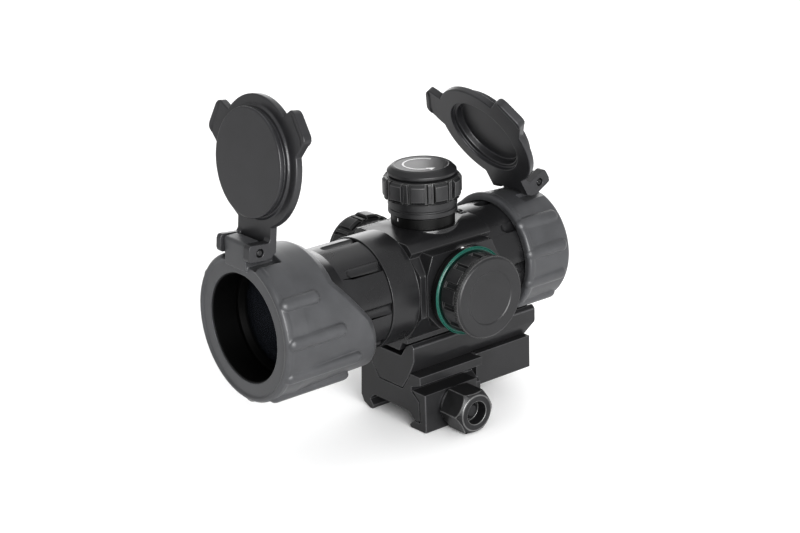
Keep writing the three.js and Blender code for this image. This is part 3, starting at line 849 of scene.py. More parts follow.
        # A thin near-black liner inside the front opening, with no part of its own in the frame: a dark sheet
        # of painted shade in the bore.
        shade = Shape.ring(16.3, 15.95, self.shade_front + 0.05, -58.6, 0.1)
        self.install(shade, "painted_shade_liner", "sight", BORE_PAINTED_SHADE)
        ring = Shape.ring(15.4, 13.4, 38.6, 40.6, 0.2)
        self.install(ring, "eyepiece_retainer", "sight", INNER_BLACK, ["eyepiece_ring"])
        gimbal = Shape.ring(13.8, 12.7, 8.0, 11.5, 0.15)
        self.install(gimbal, "gimbal_ring", "yaw_ring", INNER_BLACK, ["pivot_ring"])
        aiming = Shape.ring(12.0, 10.6, -19.0, 14.0, 0.15)
        self.install(aiming, "optic_tube", "aiming_tube", BORE_PAINTED_SHADE, ["inner_tube"])
        bulb = Shape.lathe([(0, 7.4), (0.7, 7.6), (1.2, 8.2), (1.2, 9.4), (0, 9.4)], segments=32)
        emitter = Shape.block((4.6, 9.0, -5.4), (8.4, 13.5, -2.0)).joined(bulb.shifted(6.0, 0, -3.7))
        self.install(emitter.chamfered(0.15), "dot_emitter", "aiming_tube", RED_RESIN, ["led_emitter"])
        bow = [(-8.0, -14.6), (-6.0, -14.6), (0.0, -13.1), (6.0, -14.6), (8.0, -14.6)]
        back = [(8.0, -14.2), (6.2, -14.2), (0.0, -12.6), (-6.2, -14.2), (-8.0, -14.2)]
        leaf = Shape.prism(eased([*bow, *back], 0.6), -2.0, 2.0, Axis.X).spun(-45)
        self.install(leaf, "leaf_spring", "sight", BRIGHT, ["tube_spring"])
        dot = Shape.lathe([(0, 12.5), (0.5, 12.5), (0.5, 13.36), (0.35, 13.42), (0, 13.44)], Axis.Z, 24)
        self.install(dot.shifted(19.4, -1.2), "index_dot", "sight", WHITE_PAINT)


@dataclass(frozen=True)
class CoverSizes:
    """The sizes that differ between the front cover and the rear one."""

    label: str
    pin_y: float
    pin_z: float
    reach: float
    plate: float
    plug: float
    opened: float
    ears: float
    facing: int


FRONT_COVER = CoverSizes("front", -65.2, 24.1, 3.3, 19.0, 15.7, 185.9, -5.5, -1)
REAR_COVER = CoverSizes("rear", 40.7, 21.8, 3.8, 18.2, 14.4, 209.0, 5.0, 1)


@dataclass
class FlipCover(Assembly):
    """A rubber cover with its hinged cap, pin and spring."""

    sizes: CoverSizes = FRONT_COVER
    arm_outer: float = 8.0
    arm_inner: float = 6.1
    lug_half: float = 5.7
    lug_split: float = 4.1
    lug_depth: float = 2.6
    lug_top: float = 2.4
    lug_corner: float = 0.9
    pin_hole: float = 1.2
    plate_thickness: float = 2.2
    plug_depth: float = 3.0
    recess_radius: float = 13.2
    recess_depth: float = 3.4

    def hinge(self) -> Placement:
        """Returns the hinge pin's own frame, whose Y points out of the sight."""
        turn = Matrix.Rotation(math.pi if self.sizes.facing < 0 else 0.0, 4, "Z")
        return self.place.inside((0, self.sizes.pin_y, self.sizes.pin_z), turn)

    def at_hinge(self, shape: Shape) -> Shape:
        """Moves a shape from the hinge's frame to the optic's."""
        turned = shape.spun(180, "Z") if self.sizes.facing < 0 else shape
        return turned.shifted(0, self.sizes.pin_y, self.sizes.pin_z)

    def relief(self) -> list[Shape]:
        """Lists the room that the cap's arms and neck need in the sleeve.

        Returns:
            The shapes to take away, in the optic's frame.
        """
        arm = Shape.block((self.lug_split, -6.6, -4.9), (self.arm_outer + 0.5, 20, 20))
        wide = self.lug_half + 0.1
        front = Shape.block((-wide, -6.6, -3.2), (wide, -self.lug_depth, 20))
        back = Shape.block((-wide, self.lug_depth, -3.2), (wide, 20, 20))
        return [self.at_hinge(part) for part in (arm, arm.mirrored(), front, back)]

    def lug(self) -> Shape:
        """Draws the sleeve's centre knuckle.

        Returns:
            The shape, in its local frame.
        """
        depth, corner = self.lug_depth, self.lug_corner
        side, top = depth - corner, self.lug_top - corner
        outline = [
            *arc((side, top), corner, 0, 90, 6), *arc((-side, top), corner, 90, 180, 6),
            (-depth, -6.0), (depth, -6.0),
        ]
        near, far = -self.lug_split, self.lug_half + 0.3
        if self.sizes.facing > 0:
            near, far = -far, -near
        return self.at_hinge(Shape.prism(outline, near, far, Axis.X))

    def knuckle_cuts(self) -> list[Shape]:
        """Lists the pin hole and the spring's slot in the centre knuckle.

        Returns:
            The shapes to take away, in the optic's frame.
        """
        hole = Shape.rod(self.pin_hole, -20, 20, Axis.X, 32)
        slot = Shape.block((-2.5, -10, -2.1), (2.5, 1.95, 1.95))
        return [self.at_hinge(hole), self.at_hinge(slot)]

    def ribs(
        self, angles: Sequence[float], radius: float, start: float, ends: Sequence[float]
    ) -> list[Shape]:
        """Lists the raised grip ribs along a sleeve.

        Args:
            angles: Each rib's angle up from +X, in degrees.
            radius: How far out the ribs' middles lie.
            start: Where the ribs start.
            ends: Where each one ends.

        Returns:
            The ribs.
        """
        made = []
        for angle, end in zip(angles, ends):
            bar = Shape.capsule(start, end, 2.0, 1.5).shifted(z=radius)
            made.append(bar.spun(90 - angle))
        return made

    def front_sleeve(self) -> Shape:
        """Draws the front cover's sleeve, cut on a slant at its rear.

        Returns:
            The shape, in its local frame.
        """
        outer = Shape.lathe(
            [
                (0, -67.0), (20.2, -67.0), (20.6, -67.5), (21.3, -67.5), (22.0, -66.8), (22.1, -65.6),
                (21.9, -65.0), (22.0, -60.0), (21.6, -55.0), (21.2, -46.0), (20.8, -27.0), (0, -27.0),
            ]
        )
        slope = Shape.lathe(
            [
                (0, -90.0), (24.0, -90.0), (24.0, -41.0), (21.2, -38.2), (20.2, -36.6), (19.2, -35.9),
                (17.9, -35.6), (0, -35.6),
            ]
        )
        shear = Matrix.Identity(4)
        shear[1][2] = -0.77
        lower = Shape.lathe(
            [
                (0, -90.0), (24.0, -90.0), (24.0, -40.0), (20.8, -37.9), (20.0, -36.6), (19.2, -35.8),
                (18.3, -35.4), (0, -35.4),
            ]
        )
        lean = Matrix.Identity(4)
        lean[1][2] = -0.35
        upper = Shape.lathe(
            [
                (0, -90.0), (24.0, -90.0), (24.0, -49.8), (21.3, -48.6), (20.2, -46.6), (19.3, -45.6),
                (0, -45.6),
            ]
        )
        rear = lower.placed(lean).within(slope.placed(shear)).joined(upper)
        angles = [32, 2, -28, -58, -90, 238, 208, 178, 148]
        low = [math.sin(math.radians(a)) for a in angles]
        ends = [-46.3 - 13.2 * h if h > -0.6 else -46.3 - 8 * h for h in low]
        ribs = self.ribs(angles, 21.65, -66.9, ends)
        body = outer.within(rear).joined(*ribs)
        hollow = Shape.lathe(
            [
                (0, -80.0), (16.3, -80.0), (16.3, -66.6), (17.0, -66.1), (17.4, -62.8),
                (19.35, -62.8), (19.35, -47.4),
                (16.95, -40.9), (16.95, -10.0), (0, -10.0),
            ]
        )
        body = body.cut(hollow, *self.relief())
        lug = self.lug().cut(hollow)
        return body.joined(lug).cut(*self.knuckle_cuts())

    def rear_sleeve(self) -> Shape:
        """Draws the rear cover's sleeve.

        Returns:
            The shape, in its local frame.
        """
        inner = 16.95
        body = Shape.lathe(
            [
                (0, 25.9), (18.6, 25.9), (19.3, 26.5), (19.4, 27.6), (18.9, 28.8), (18.7, 35.0),
                (18.5, 43.0), (17.6, 44.2), (0, 44.2),
            ],
            ease=0.3,
        )
        angles = [42, 12, -18, -48, -78, 258, 228, 198, 168, 138]
        ribs = self.ribs(angles, 18.3, 25.5, [42.4] * len(angles))
        core = Shape.rod(inner, 20, 41.9)
        opening = Shape.rod(14.9, 20, 50)
        body = body.joined(*ribs).cut(core, opening, *self.relief())
        lug = self.lug().cut(core)
        return body.joined(lug).cut(*self.knuckle_cuts())

    def cap_ear(self) -> list[Point]:
        """Draws the outline of the right-hand ear, about the plate's middle.

        Returns:
            The ear's outline.
        """
        reach = self.sizes.plate - 19.0
        return [
            (12.0, -13.0), (17.2 + reach, -16.0), (18.9 + reach, -15.0), (22.8 + reach, -8.9),
            (22.9 + reach, -7.4), (17.6, -1.6),
        ]

    def cap(self) -> Shape:
        """Draws the closed cap in the hinge's frame.

        Returns:
            The shape, in its local frame.
        """
        s = self.sizes
        face, back = s.reach, s.reach + self.plate_thickness
        drop = -s.pin_z
        plate = Shape.lathe([(0, face), (s.plate, face), (s.plate, back), (0, back)], ease=0.35)
        ear = Shape.prism(eased(self.cap_ear(), 0.9), face, back, Axis.Y)
        reach = s.plate - 19.0
        ridge = Shape.prism(
            eased(
                [
                    (17.4 + reach, -15.9), (18.9 + reach, -15.0), (22.8 + reach, -8.9),
                    (22.9 + reach, -7.4), (21.6 + reach, -6.2), (21.3 + reach, -8.4),
                    (17.9 + reach, -13.9),
                ],
                0.6,
            ),
            face - 0.2, back + 0.35, Axis.Y,
        )
        ears = ear.joined(ridge)
        ears = ears.joined(ears.mirrored()).spun(s.ears)
        neck = Shape.block((-self.arm_outer, face, s.plate - 4.0), (self.arm_outer, back, -0.6 - drop))
        plug_face = face - self.plug_depth
        plug = Shape.lathe(
            [
                (0, face + 0.5), (0, plug_face), (s.plug, plug_face), (s.plug, plug_face + 1.5),
                (s.plug - 0.7, plug_face + 1.7), (s.plug - 0.7, face - 0.8), (s.plug + 0.35, face - 0.7),
                (s.plug + 0.35, face + 0.5),
            ],
            ease=0.3,
        )
        arm_side = [
            *arc((-2.6, 1.4), 1.2, 90, 180, 8), *arc((-2.6, -1.4), 1.2, 180, 270, 8),
            (face - 0.4, -2.6), (face, -3.6), (back, -3.6), (back, 0.4), (face + 0.8, 1.9),
            (face - 1.2, 2.6),
        ]
        wide = Shape.prism(arm_side, self.lug_split + 1.1, self.arm_outer, Axis.X)
        slim = Shape.prism(arm_side, self.arm_inner, self.arm_outer, Axis.X)
        arms = [wide.mirrored(), slim] if s.facing < 0 else [wide, slim.mirrored()]
        disc = plate.joined(ears, neck, plug).shifted(z=drop)
        body = disc.joined(*arms)
        depth = self.recess_depth
        recess = Shape.lathe(
            [
                (0, back + 1), (0, back - depth), (self.recess_radius - 1.6, back - depth),
                (self.recess_radius - 1.2, back - 1.2), (self.recess_radius, back - 1.2),
                (self.recess_radius, back + 1),
            ],
            ease=0.2,
        ).shifted(z=drop)
        return body.cut(recess, Shape.rod(self.pin_hole, -20, 20, Axis.X, 32))

    def spring(self) -> Shape:
        """Draws the coiled torsion spring with its two legs.

        Returns:
            The shape, in its local frame.
        """
        turns, wire, radius = 3.25, 0.3, 1.48
        steps = round(turns * 20)
        half = turns * wire * 1.15
        path = [Vector((-half, -2.9, -1.4)), Vector((-half, -1.3, -1.45))]
        for i in range(steps + 1):
            t = math.radians(-90 + 360 * turns * i / steps)
            path.append(Vector((-half + 2 * half * i / steps, radius * math.cos(t), radius * math.sin(t))))
        path.append(path[-1] + Vector((0, -1.6, -0.2)))
        return Shape.sweep(path, wire)

    def pin(self) -> Shape:
        """Draws the hinge pin with a domed, slotted end.

        Returns:
            The shape, in its local frame.
        """
        body = Shape.lathe(
            [(0, -7.9), (0.7, -7.9), (1.0, -7.6), (1.0, 7.6), (0.7, 7.9), (0, 7.9)], Axis.X, 32, 0.1
        )
        return body.cut(Shape.block((7.5, -0.15, -2), (9, 0.15, 2)).spun(45, "X"))

    def build(self) -> None:
        """Makes and installs the sleeve, cap, pin and spring."""
        label = self.sizes.label
        sleeve = self.front_sleeve() if self.sizes.facing < 0 else self.rear_sleeve()
        self.install(
            sleeve.melted(0.24, 3), f"{label}_rubber_cover", "sight", RUBBER,
            [f"{label}_cover_sleeve"], sharp=180,
        )
        hinge = self.hinge()
        opened = hinge.inside((0, 0, 0), Matrix.Rotation(math.radians(self.sizes.opened), 4, "X"))
        self.install(
            self.cap().melted(0.2, 2), f"{label}_cap_moulding", f"{label}_cap", PLASTIC,
            [f"{label}_flip_cap"], opened, sharp=180,
        )
        self.install(self.pin(), f"{label}_pin", "sight", STEEL, [f"{label}_hinge_pin"], hinge)
        self.install(self.spring(), f"{label}_spring", "sight", STEEL, [f"{label}_cap_spring"], hinge)


@dataclass
class Turret(Assembly):
    """An adjustment turret, drawn about Y with its seat at height 0."""

    label: str = "elevation"
    seat: float = 16.8
    lobes: int = 10
    grip_radius: float = 12.0
    skirt_radius: float = 10.5
    base_radius: float = 9.7

    def dial(self) -> Shape:
        """Draws the dial: a grooved skirt under a grip of lobes and narrow ribs.

        Returns:
            The shape, in its local frame.
        """
        stops = [(0.0, 0.56, self.grip_radius), (0.60, 0.69, 10.75), (0.73, 0.86, 11.45), (0.90, 0.97, 10.75)]
        grip = Shape.prism(lobed(self.lobes, stops), 8.2, 14.5, Axis.Y)
        trim = Shape.lathe(
            [
                (0, 3.0), (13.0, 3.0), (13.0, 8.0), (11.0, 8.3), (self.grip_radius, 9.3),
                (self.grip_radius, 13.6), (11.3, 14.5), (10.6, 15.2), (0, 15.2),
            ]
        )
        core = Shape.lathe(
            [
                (0, 3.6), (self.skirt_radius, 3.6), (self.skirt_radius, 5.0), (10.15, 5.15),
                (10.15, 5.65), (self.skirt_radius, 5.8), (self.skirt_radius, 7.9), (10.9, 8.2),
                (10.7, 14.6), (10.0, 14.9), (0, 14.9),
            ],
            ease=0.1,
        )
        return grip.joined(core).within(trim).cut(Shape.rod(8.5, 3.0, 12.6, segments=SMALL_ROUND))

    def plate(self) -> Shape:
        """Draws the chamfered cap over the dial.

        Returns:
            The shape, in its local frame.
        """
        return Shape.lathe(
            [
                (0, 15.0), (10.0, 15.0), (10.5, 15.5), (10.5, 16.3), (9.2, 17.6), (8.6, 17.9), (8.2, 17.9),
                (8.0, 17.8), (0, 17.8),
            ],
            ease=0.15,
        )

    def base(self) -> Shape:
        """Draws the fixed base and its threaded neck.

        Returns:
            The shape, in its local frame.
        """
        depth = self.seat - 13.2
        r = self.base_radius
        return Shape.lathe(
            [
                (2.8, -depth), (6.2, -depth), (6.2, 0.0), (r, 0.0), (r, 3.2), (7.6, 3.2), (7.6, 6.0),
                (7.1, 6.0), (7.1, 7.2), (7.6, 7.2), (7.6, 9.6), (2.8, 9.6),
            ],
            ease=0.15,
        )

    def screw(self) -> Shape:
        """Draws the adjusting screw that pushes on the inner tube.

        Returns:
            The shape, in its local frame.
        """
        tip = 12.6 - self.seat
        return Shape.lathe(
            [(0, tip), (1.4, tip), (2.5, tip + 1.2), (2.5, 10.0), (4.4, 10.0), (4.4, 12.3), (0, 12.3)],
            segments=SMALL_ROUND, ease=0.12,
        )

    def arrow(self) -> Shape:
        """Draws a plain turn arrow that is printed on the cap.

        Returns:
            The shape, in its local frame.
        """
        band = [*arc((0, 0), 5.9, 20, 250, 40), *arc((0, 0), 5.3, 250, 20, 40)]
        head = [(4.2, 1.9), (6.9, 1.9), (5.9, -0.4)]
        shaft = Shape.prism(band, 17.74, 17.83, Axis.Y)
        return shaft.joined(Shape.prism(head, 17.74, 17.83, Axis.Y))

    def build(self) -> None:
        """Makes and installs the turret's pieces."""
        body, tag = f"{self.label}_turret", self.label
        self.install(self.base(), f"{tag}_collar", "sight", INNER_BLACK, [f"{tag}_base"])
        self.install(self.dial().chamfered(0.1), f"{tag}_grip", body, DIAL_BLACK, [f"{tag}_dial"])
        self.install(self.plate(), f"{tag}_cap", body, DIAL_BLACK, [f"{tag}_dial_plate"])
        self.install(Shape.ring(8.2, 7.25, 6.2, 7.0, 0.3), f"{tag}_gasket", "sight", RUBBER, [f"{tag}_seal"])
        self.install(self.screw(), f"{tag}_adjuster", body, BRIGHT, [f"{tag}_screw"])
        self.install(self.arrow(), f"{tag}_arrow", body, WHITE_PAINT)
        tick = Shape.block((-0.16, 1.9, self.base_radius - 0.05), (0.16, 2.9, self.base_radius + 0.03))
        self.install(tick, f"{tag}_datum", "sight", WHITE_PAINT)


@dataclass
class BrightnessControl(Assembly):
    """The side knob with its base, index ring and battery, drawn about Y."""

    knob_radius: float = 12.3
    index_radius: float = 13.5
    cap_radius: float = 12.6
    lobes: int = 12
    teeth: int = 96
    side_face: float = 18.3

    def knob(self) -> Shape:
        """Draws the lobed knob, hollow for the battery.

        Returns:
            The shape, in its local frame.
        """
        stops = [(0.0, 0.66, self.knob_radius), (0.71, 0.95, 11.3)]
        grip = Shape.prism(lobed(self.lobes, stops), 22.4, 27.6, Axis.Y)
        rings = Shape.rod(12.0, 21.8, 22.6).joined(Shape.rod(11.8, 27.4, 27.9))
        trim = Shape.lathe(
            [
                (0, 21.0), (12.0, 21.8), (self.knob_radius, 22.2), (self.knob_radius, 27.2),
                (11.9, 27.9), (0, 27.9),
            ]
        )
        throat = Shape.rod(6.4, 20.0, 24.0, segments=SMALL_ROUND)
        well = Shape.rod(9.5, 23.6, 29.0, segments=SMALL_ROUND)
        return grip.joined(rings).within(trim).cut(throat, well)

    def battery_cap(self) -> Shape:
        """Draws the coin-edged battery cap.

        Returns:
            The shape, in its local frame.
        """
        stops = [(0.0, 0.45, self.cap_radius), (0.6, 0.85, self.cap_radius - 0.16)]
        rim = Shape.prism(lobed(self.teeth, stops), 28.2, 29.7, Axis.Y)
        face = Shape.lathe(
            [
                (0, 28.2), (12.25, 28.2), (12.3, 29.8), (11.8, 30.3), (8.3, 30.3), (8.0, 30.05), (0, 30.05),
            ],
            ease=0.15,
        )
        return face.joined(rim, Shape.ring(9.2, 8.3, 26.2, 28.4, 0))

    def base(self) -> Shape:
        """Draws the fixed base with its spigot.

        Returns:
            The shape, in its local frame.
        """
        seat = self.side_face + 0.1
        return Shape.lathe(
            [
                (0, 14.4), (8.6, 14.4), (8.6, seat), (12.9, seat), (12.9, 19.2), (13.3, 19.6),
                (13.3, 21.0), (6.0, 21.0), (6.0, 23.4), (0, 23.4),
            ],
            ease=0.2,
        )

    def build(self) -> None:
        """Makes and installs the knob's pieces."""
        self.install(self.base(), "knob_seat", "sight", INNER_BLACK, ["knob_base"])
        ring = Shape.lathe(
            [
                (11.4, 21.1), (self.index_radius, 21.1), (self.index_radius, 21.5), (13.3, 21.6),
                (13.1, 21.35), (12.9, 21.35), (12.7, 21.6), (11.4, 21.6),
            ]
        )
        # Its rounded edges take the green's lighter edge tone, which is a painted highlight.
        self.install(ring.chamfered(0.09), "index_ring", "sight", GREEN, ["green_index_ring"])
        self.install(
            self.knob().chamfered(0.12), "lobed_knob", "brightness_control", DIAL_BLACK,
            ["brightness_knob"],
        )
        contact = Shape.lathe([(2.0, 23.6), (6.4, 24.5), (6.4, 24.7), (1.8, 23.8)], segments=SMALL_ROUND)
        self.install(contact, "contact_disc", "sight", BRIGHT, ["battery_contact"])
        cell = Shape.lathe(
            [(0, 24.9), (6.6, 24.9), (6.8, 25.2), (8.0, 25.2), (8.0, 27.9), (0, 27.9)],
            segments=SMALL_ROUND, ease=0.2,
        )
        self.install(cell, "coin_cell", "brightness_control", BRIGHT, ["battery_cell"])
        self.install(
            self.battery_cap().chamfered(0.06), "coin_edge_cap", "battery_cover", DIAL_BLACK,
            ["battery_cap"],
        )
        mark = Shape.rod(0.32, 12.2, 12.36, Axis.Z, 24).shifted(0, 23.0).spun(12)
        self.install(mark, "knob_mark", "brightness_control", GREEN)


@dataclass
class RailMount(Assembly):
    """The riser, the rail base and the cross-bolt clamp."""

    front: float = -14.5
    rail_rear: float = 10.3
    base_rear: float = 32.2
    clamp_rear: float = 6.2
    riser_rear: float = 35.2
    roof_half: float = 8.4
    apex_half: float = 10.7
    bolt_y: float = -2.7
    bolt_z: float = 1.6
    bolt_radius: float = 2.5
    nut_flats: float = 12.6
    mount_screws: tuple[float, float] = (-9.0, 8.0)
    base_screws: tuple[float, float] = (15.0, 27.0)

    def bolt_place(self) -> Placement:
        """Returns the cross bolt's frame, drawn about Y and pointing along +X."""
        return self.place.inside((0, self.bolt_y, self.bolt_z), Matrix.Rotation(math.radians(-90), 4, "Z"))

    def riser(self) -> Shape:
        """Draws the riser with its trough, undercut end and screw holes.

        Returns:
            The shape, in its local frame.
        """
        section = mirrored_outline(
            [
                (5.4, 17.3), (8.0, 21.2), (8.9, 21.6), (9.7, 22.1), (10.4, 22.3), (11.5, 21.2),
                (11.5, 16.8), (8.5, 10.8), (7.3, 9.2), (5.6, 6.8),
            ]
        )
        end = self.riser_rear
        undercut = Shape.prism(
            [(end + 1, 17.2), (end, 17.2), (end - 2.8, 12.8), (end - 2.8, 0.0), (end + 1, 0.0)],
            -20, 20, Axis.X,
        )
        holes = [Shape.rod(1.7, 0, 30, Axis.Z, 24).shifted(y=y) for y in self.mount_screws]
        holes += [Shape.rod(3.2, 0, 10.6, Axis.Z, 32).shifted(y=y) for y in self.mount_screws]
        holes += [Shape.rod(1.7, 0, 13.2, Axis.Z, 24).shifted(y=y) for y in self.base_screws]
        return Shape.prism(section, self.front, end, Axis.Y).cut(undercut, *holes)

    def base(self) -> Shape:
        """Draws the rail base: a hooked front half and a plain rear half.

        Returns:
            The shape, in its local frame.
        """
        front = Shape.prism(
            [
                (-5.75, 6.6), (-7.45, 9.1), (-8.65, 10.8), (-9.75, 13.0), (-14.6, 7.8), (-15.1, -1.6),
                (-13.9, -3.9), (-10.9, -5.2), (-9.7, -5.2), (-9.1, -3.9), (-self.apex_half, -2.1),
                (-self.roof_half, 0), (self.roof_half, 0), (self.apex_half, -2.1), (13.4, -2.1),
                (13.4, 4.3), (9.9, 7.0), (9.9, 8.4), (14.2, 9.9), (14.2, 12.6), (9.6, 12.6),
                (8.65, 10.8), (7.45, 9.1), (5.75, 6.6),
            ],
            self.front, self.rail_rear, Axis.Y,
        )
        rear = Shape.prism(
            [
                (-5.75, 6.6), (5.75, 6.6), (7.45, 9.1), (8.65, 10.8), (9.75, 13.0), (12.1, 13.0),
                (12.1, 2.4), (-12.1, 2.4), (-12.1, 10.1), (-9.75, 13.0), (-8.65, 10.8), (-7.45, 9.1),
            ],
            self.rail_rear - 0.5, self.base_rear, Axis.Y,
        )
        bore = Shape.rod(self.bolt_radius + 0.3, -30, 30, Axis.X, 48).shifted(y=self.bolt_y, z=self.bolt_z)
        holes = [Shape.rod(1.7, 0, 20, Axis.Z, 24).shifted(y=y) for y in self.base_screws]
        holes += [Shape.rod(3.1, 0, 4.6, Axis.Z, 32).shifted(y=y) for y in self.base_screws]
        return front.joined(rear).cut(bore, *holes)

    def clamp(self) -> Shape:
        """Draws the clamp plate with its hooked foot.

        Returns:
            The shape, in its local frame.
        """
        section = [
            (10.2, 7.4), (16.4, 7.4), (16.4, -5.0), (9.2, -5.2), (8.6, -4.3), (10.8, -2.4),
            (13.7, -2.4), (13.7, 4.5), (10.2, 7.1),
        ]
        bore = Shape.rod(self.bolt_radius + 0.3, 0, 30, Axis.X, 48).shifted(y=self.bolt_y, z=self.bolt_z)
        return Shape.prism(section, self.front, self.clamp_rear, Axis.Y).cut(bore)

    def nut(self) -> Shape:
        """Draws the flanged nut with a rounded end and a counterbore.

        Returns:
            The shape, in its local frame.
        """
        corner = self.nut_flats / math.sqrt(3)
        hexagon = Shape.prism(arc((0, 0), corner, 0, 300, 5), 17.7, 26.4, Axis.Y)
        turned = Shape.lathe(
            [(0, 17.7), (7.4, 17.7), (7.4, 24.4), (6.9, 25.3), (5.6, 26.4), (0, 26.4)], segments=96
        )
        flange = Shape.lathe([(0, 17.7), (6.6, 17.7), (6.3, 18.7), (0, 18.7)], segments=96)
        bores = [Shape.rod(2.75, 17.0, 27.0, segments=48), Shape.rod(3.6, 22.8, 27.0, segments=48)]
        return hexagon.within(turned).joined(flange).cut(*bores)

    def bolt(self) -> Shape:
        """Draws the cross bolt with its round head and domed end.

        Returns:
            The shape, in its local frame.
        """
        r = self.bolt_radius
        return Shape.lathe(
            [
                (0, -18.4), (3.2, -18.4), (4.4, -17.4), (4.4, -15.2), (r, -15.2), (r, 23.6), (1.8, 24.4),
                (0, 24.6),
            ],
            segments=64, ease=0.25,
        ).cut(Shape.block((-0.5, -19.5, -5), (0.5, -17.3, 5)))

    def cap_screw(self, head: float, height: float, length: float) -> Shape:
        """Returns a socket-head screw, drawn upwards from its head's face.

        Args:
            head: The head's radius.
            height: The head's height.
            length: The whole length.

        Returns:
            The screw.
        """
        body = Shape.lathe(
            [(0, 0), (head, 0), (head, height), (1.5, height), (1.5, length), (0, length)],
            Axis.Z, 48, 0.15,
        )
        socket = arc((0, 0), head * 0.5, 0, 300, 5)
        return body.cut(Shape.prism(socket, -1, height * 0.6, Axis.Z))

    def build(self) -> None:
        """Makes and installs the mount's pieces."""
        self.install(self.riser().chamfered(0.3), "riser", "sight", MOUNT_BLACK, ["riser_block"])
        self.install(self.base().chamfered(0.2), "rail_foot", "sight", MOUNT_BLACK, ["rail_base"])
        self.install(self.clamp().chamfered(0.3), "clamp_jaw", "rail_clamp", MOUNT_BLACK, ["clamp_plate"])
        bolt = self.bolt_place()
        self.install(self.bolt(), "through_bolt", "sight", STEEL, ["cross_bolt"], bolt)
        nut = self.nut().chamfered(0.25, 3)
        self.install(nut, "flange_nut", "clamp_fastener", STEEL, ["clamp_nut"], bolt)
        washer = Shape.ring(6.0, 2.8, 16.5, 17.5, 0.15)
        self.install(washer, "washer", "rail_clamp", BRIGHT, ["clamp_washer"], bolt)
        screws = [
            ("mount_screw_front", self.mount_screws[0], 6.9, (2.9, 3.2, 15.9)),
            ("mount_screw_rear", self.mount_screws[1], 6.9, (2.9, 3.2, 15.9)),
            ("base_screw_front", self.base_screws[0], 2.5, (2.8, 2.0, 10.2)),
            ("base_screw_rear", self.base_screws[1], 2.5, (2.8, 2.0, 10.2)),
        ]
        for node, y, z, size in screws:
            place = self.place.inside((0, y, z), Matrix.Identity(4))
            self.install(self.cap_screw(*size), node + "_cap", "sight", STEEL, [node], place)


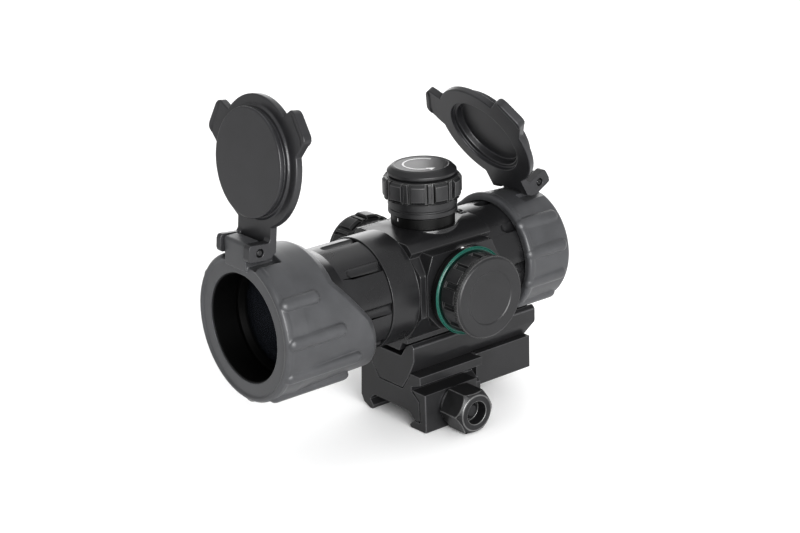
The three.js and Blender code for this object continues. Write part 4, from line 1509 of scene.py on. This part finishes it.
@dataclass
class Studio:
    """The pale floor, the soft lights and the camera."""

    azimuth: float = 51.42
    elevation: float = 19.66
    roll: float = -1.79
    distance: float = 0.5604
    lens: float = 83.71
    aim: Vector = field(default_factory=lambda: Vector((0, -0.01445, 0.04324)))
    floor_z: float = 0.0

    def toward(self, azimuth: float, elevation: float) -> Vector:
        """Returns the unit vector from the sight towards an azimuth and elevation in degrees."""
        a, e = math.radians(azimuth), math.radians(elevation)
        return Vector((math.sin(a) * math.cos(e), -math.cos(a) * math.cos(e), math.sin(e)))

    def camera(self) -> None:
        """Makes the camera."""
        data = bpy.data.cameras.new("camera")
        data.lens = self.lens
        data.sensor_width = 36.0
        data.clip_start, data.clip_end = 0.01, 20.0
        camera = bpy.data.objects.new("camera", data)
        back = self.toward(self.azimuth, self.elevation)
        tilt = Matrix.Rotation(math.radians(self.roll), 4, "Z")
        camera.matrix_world = (
            Matrix.Translation(self.aim + back * self.distance)
            @ back.to_track_quat("Z", "Y").to_matrix().to_4x4()
            @ tilt
        )
        bpy.context.scene.collection.objects.link(camera)
        bpy.context.scene.camera = camera

    def softbox(
        self, name: str, azimuth: float, elevation: float, reach: float, size: float, watts: float
    ) -> None:
        """Adds a soft light that faces the sight.

        Args:
            name: The light's name.
            azimuth: Where it stands, in degrees.
            elevation: How high it stands, in degrees.
            reach: How far away it stands, in metres.
            size: The side of its square, in metres.
            watts: Its power.
        """
        data = bpy.data.lights.new(name, "AREA")
        data.size = size
        data.energy = watts
        light = bpy.data.objects.new(name, data)
        away = self.toward(azimuth, elevation)
        light.location = self.aim + away * reach
        light.rotation_mode = "QUATERNION"
        light.rotation_quaternion = away.to_track_quat("Z", "Y")
        bpy.context.scene.collection.objects.link(light)

    def floor(self) -> None:
        """Lays the pale floor."""
        work = bmesh.new()
        bmesh.ops.create_grid(work, x_segments=8, y_segments=8, size=4.0)
        mesh = bpy.data.meshes.new("floor")
        work.to_mesh(mesh)
        work.free()
        material = bpy.data.materials.new("pale_floor")
        material.use_nodes = True
        shader = material.node_tree.nodes["Principled BSDF"]
        shader.inputs["Base Color"].default_value = (0.9, 0.9, 0.9, 1)
        shader.inputs["Roughness"].default_value = 0.9
        shader.inputs["Specular IOR Level"].default_value = 0.1
        mesh.materials.append(material)
        floor = bpy.data.objects.new("floor", mesh)
        floor.location.z = self.floor_z
        bpy.context.scene.collection.objects.link(floor)
        floor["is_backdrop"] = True

    def build(self) -> None:
        """Sets up the whole studio."""
        scene = bpy.context.scene
        scene.view_settings.view_transform = "Standard"
        scene.view_settings.gamma = 0.76
        world = bpy.data.worlds.new("studio")
        world.use_nodes = True
        world.node_tree.nodes["Background"].inputs["Color"].default_value = (1, 1, 1, 1)
        world.node_tree.nodes["Background"].inputs["Strength"].default_value = 0.8
        scene.world = world
        self.floor()
        self.softbox("overhead", 235, 70, 1.4, 1.3, 4)
        self.softbox("backdrop", 228, 12, 1.6, 1.2, 10)
        self.softbox("front", 72, 12, 1.3, 1.1, 42)
        self.camera()


def main() -> None:
    """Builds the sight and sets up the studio."""
    logging.basicConfig(level=logging.INFO, format="%(name)s: %(message)s")
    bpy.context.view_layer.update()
    dial_low, dial_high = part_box("elevation_dial")
    ring_low, ring_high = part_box("objective_ring")
    turret_y = (dial_low.y + dial_high.y) / 2 / METRE
    axis_z = (ring_low.z + ring_high.z) / 2 / METRE
    optic = Placement(Vector((0, turret_y, axis_z)))
    tube = SightTube(optic)
    tube.build()
    FlipCover(optic, FRONT_COVER).build()
    FlipCover(optic, REAR_COVER).build()
    top = optic.inside((0, 0, tube.top_face), Matrix.Rotation(math.radians(90), 4, "X"))
    Turret(top, "elevation", tube.top_face).build()
    side = optic.inside((-tube.side_face, 0, 0), Matrix.Rotation(math.radians(90), 4, "Z"))
    Turret(side, "windage", tube.side_face).build()
    knob = optic.inside((0, 0, 0), Matrix.Rotation(math.radians(-90), 4, "Z"))
    BrightnessControl(knob).build()
    seat = Vector(frame["record"]["mounts"][0]["pos_m"]) / METRE
    RailMount(Placement(Vector((seat.x, turret_y, seat.z)))).build()
    low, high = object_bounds()
    Studio(floor_z=low.z).build()


if __name__ == "__main__":
    main()
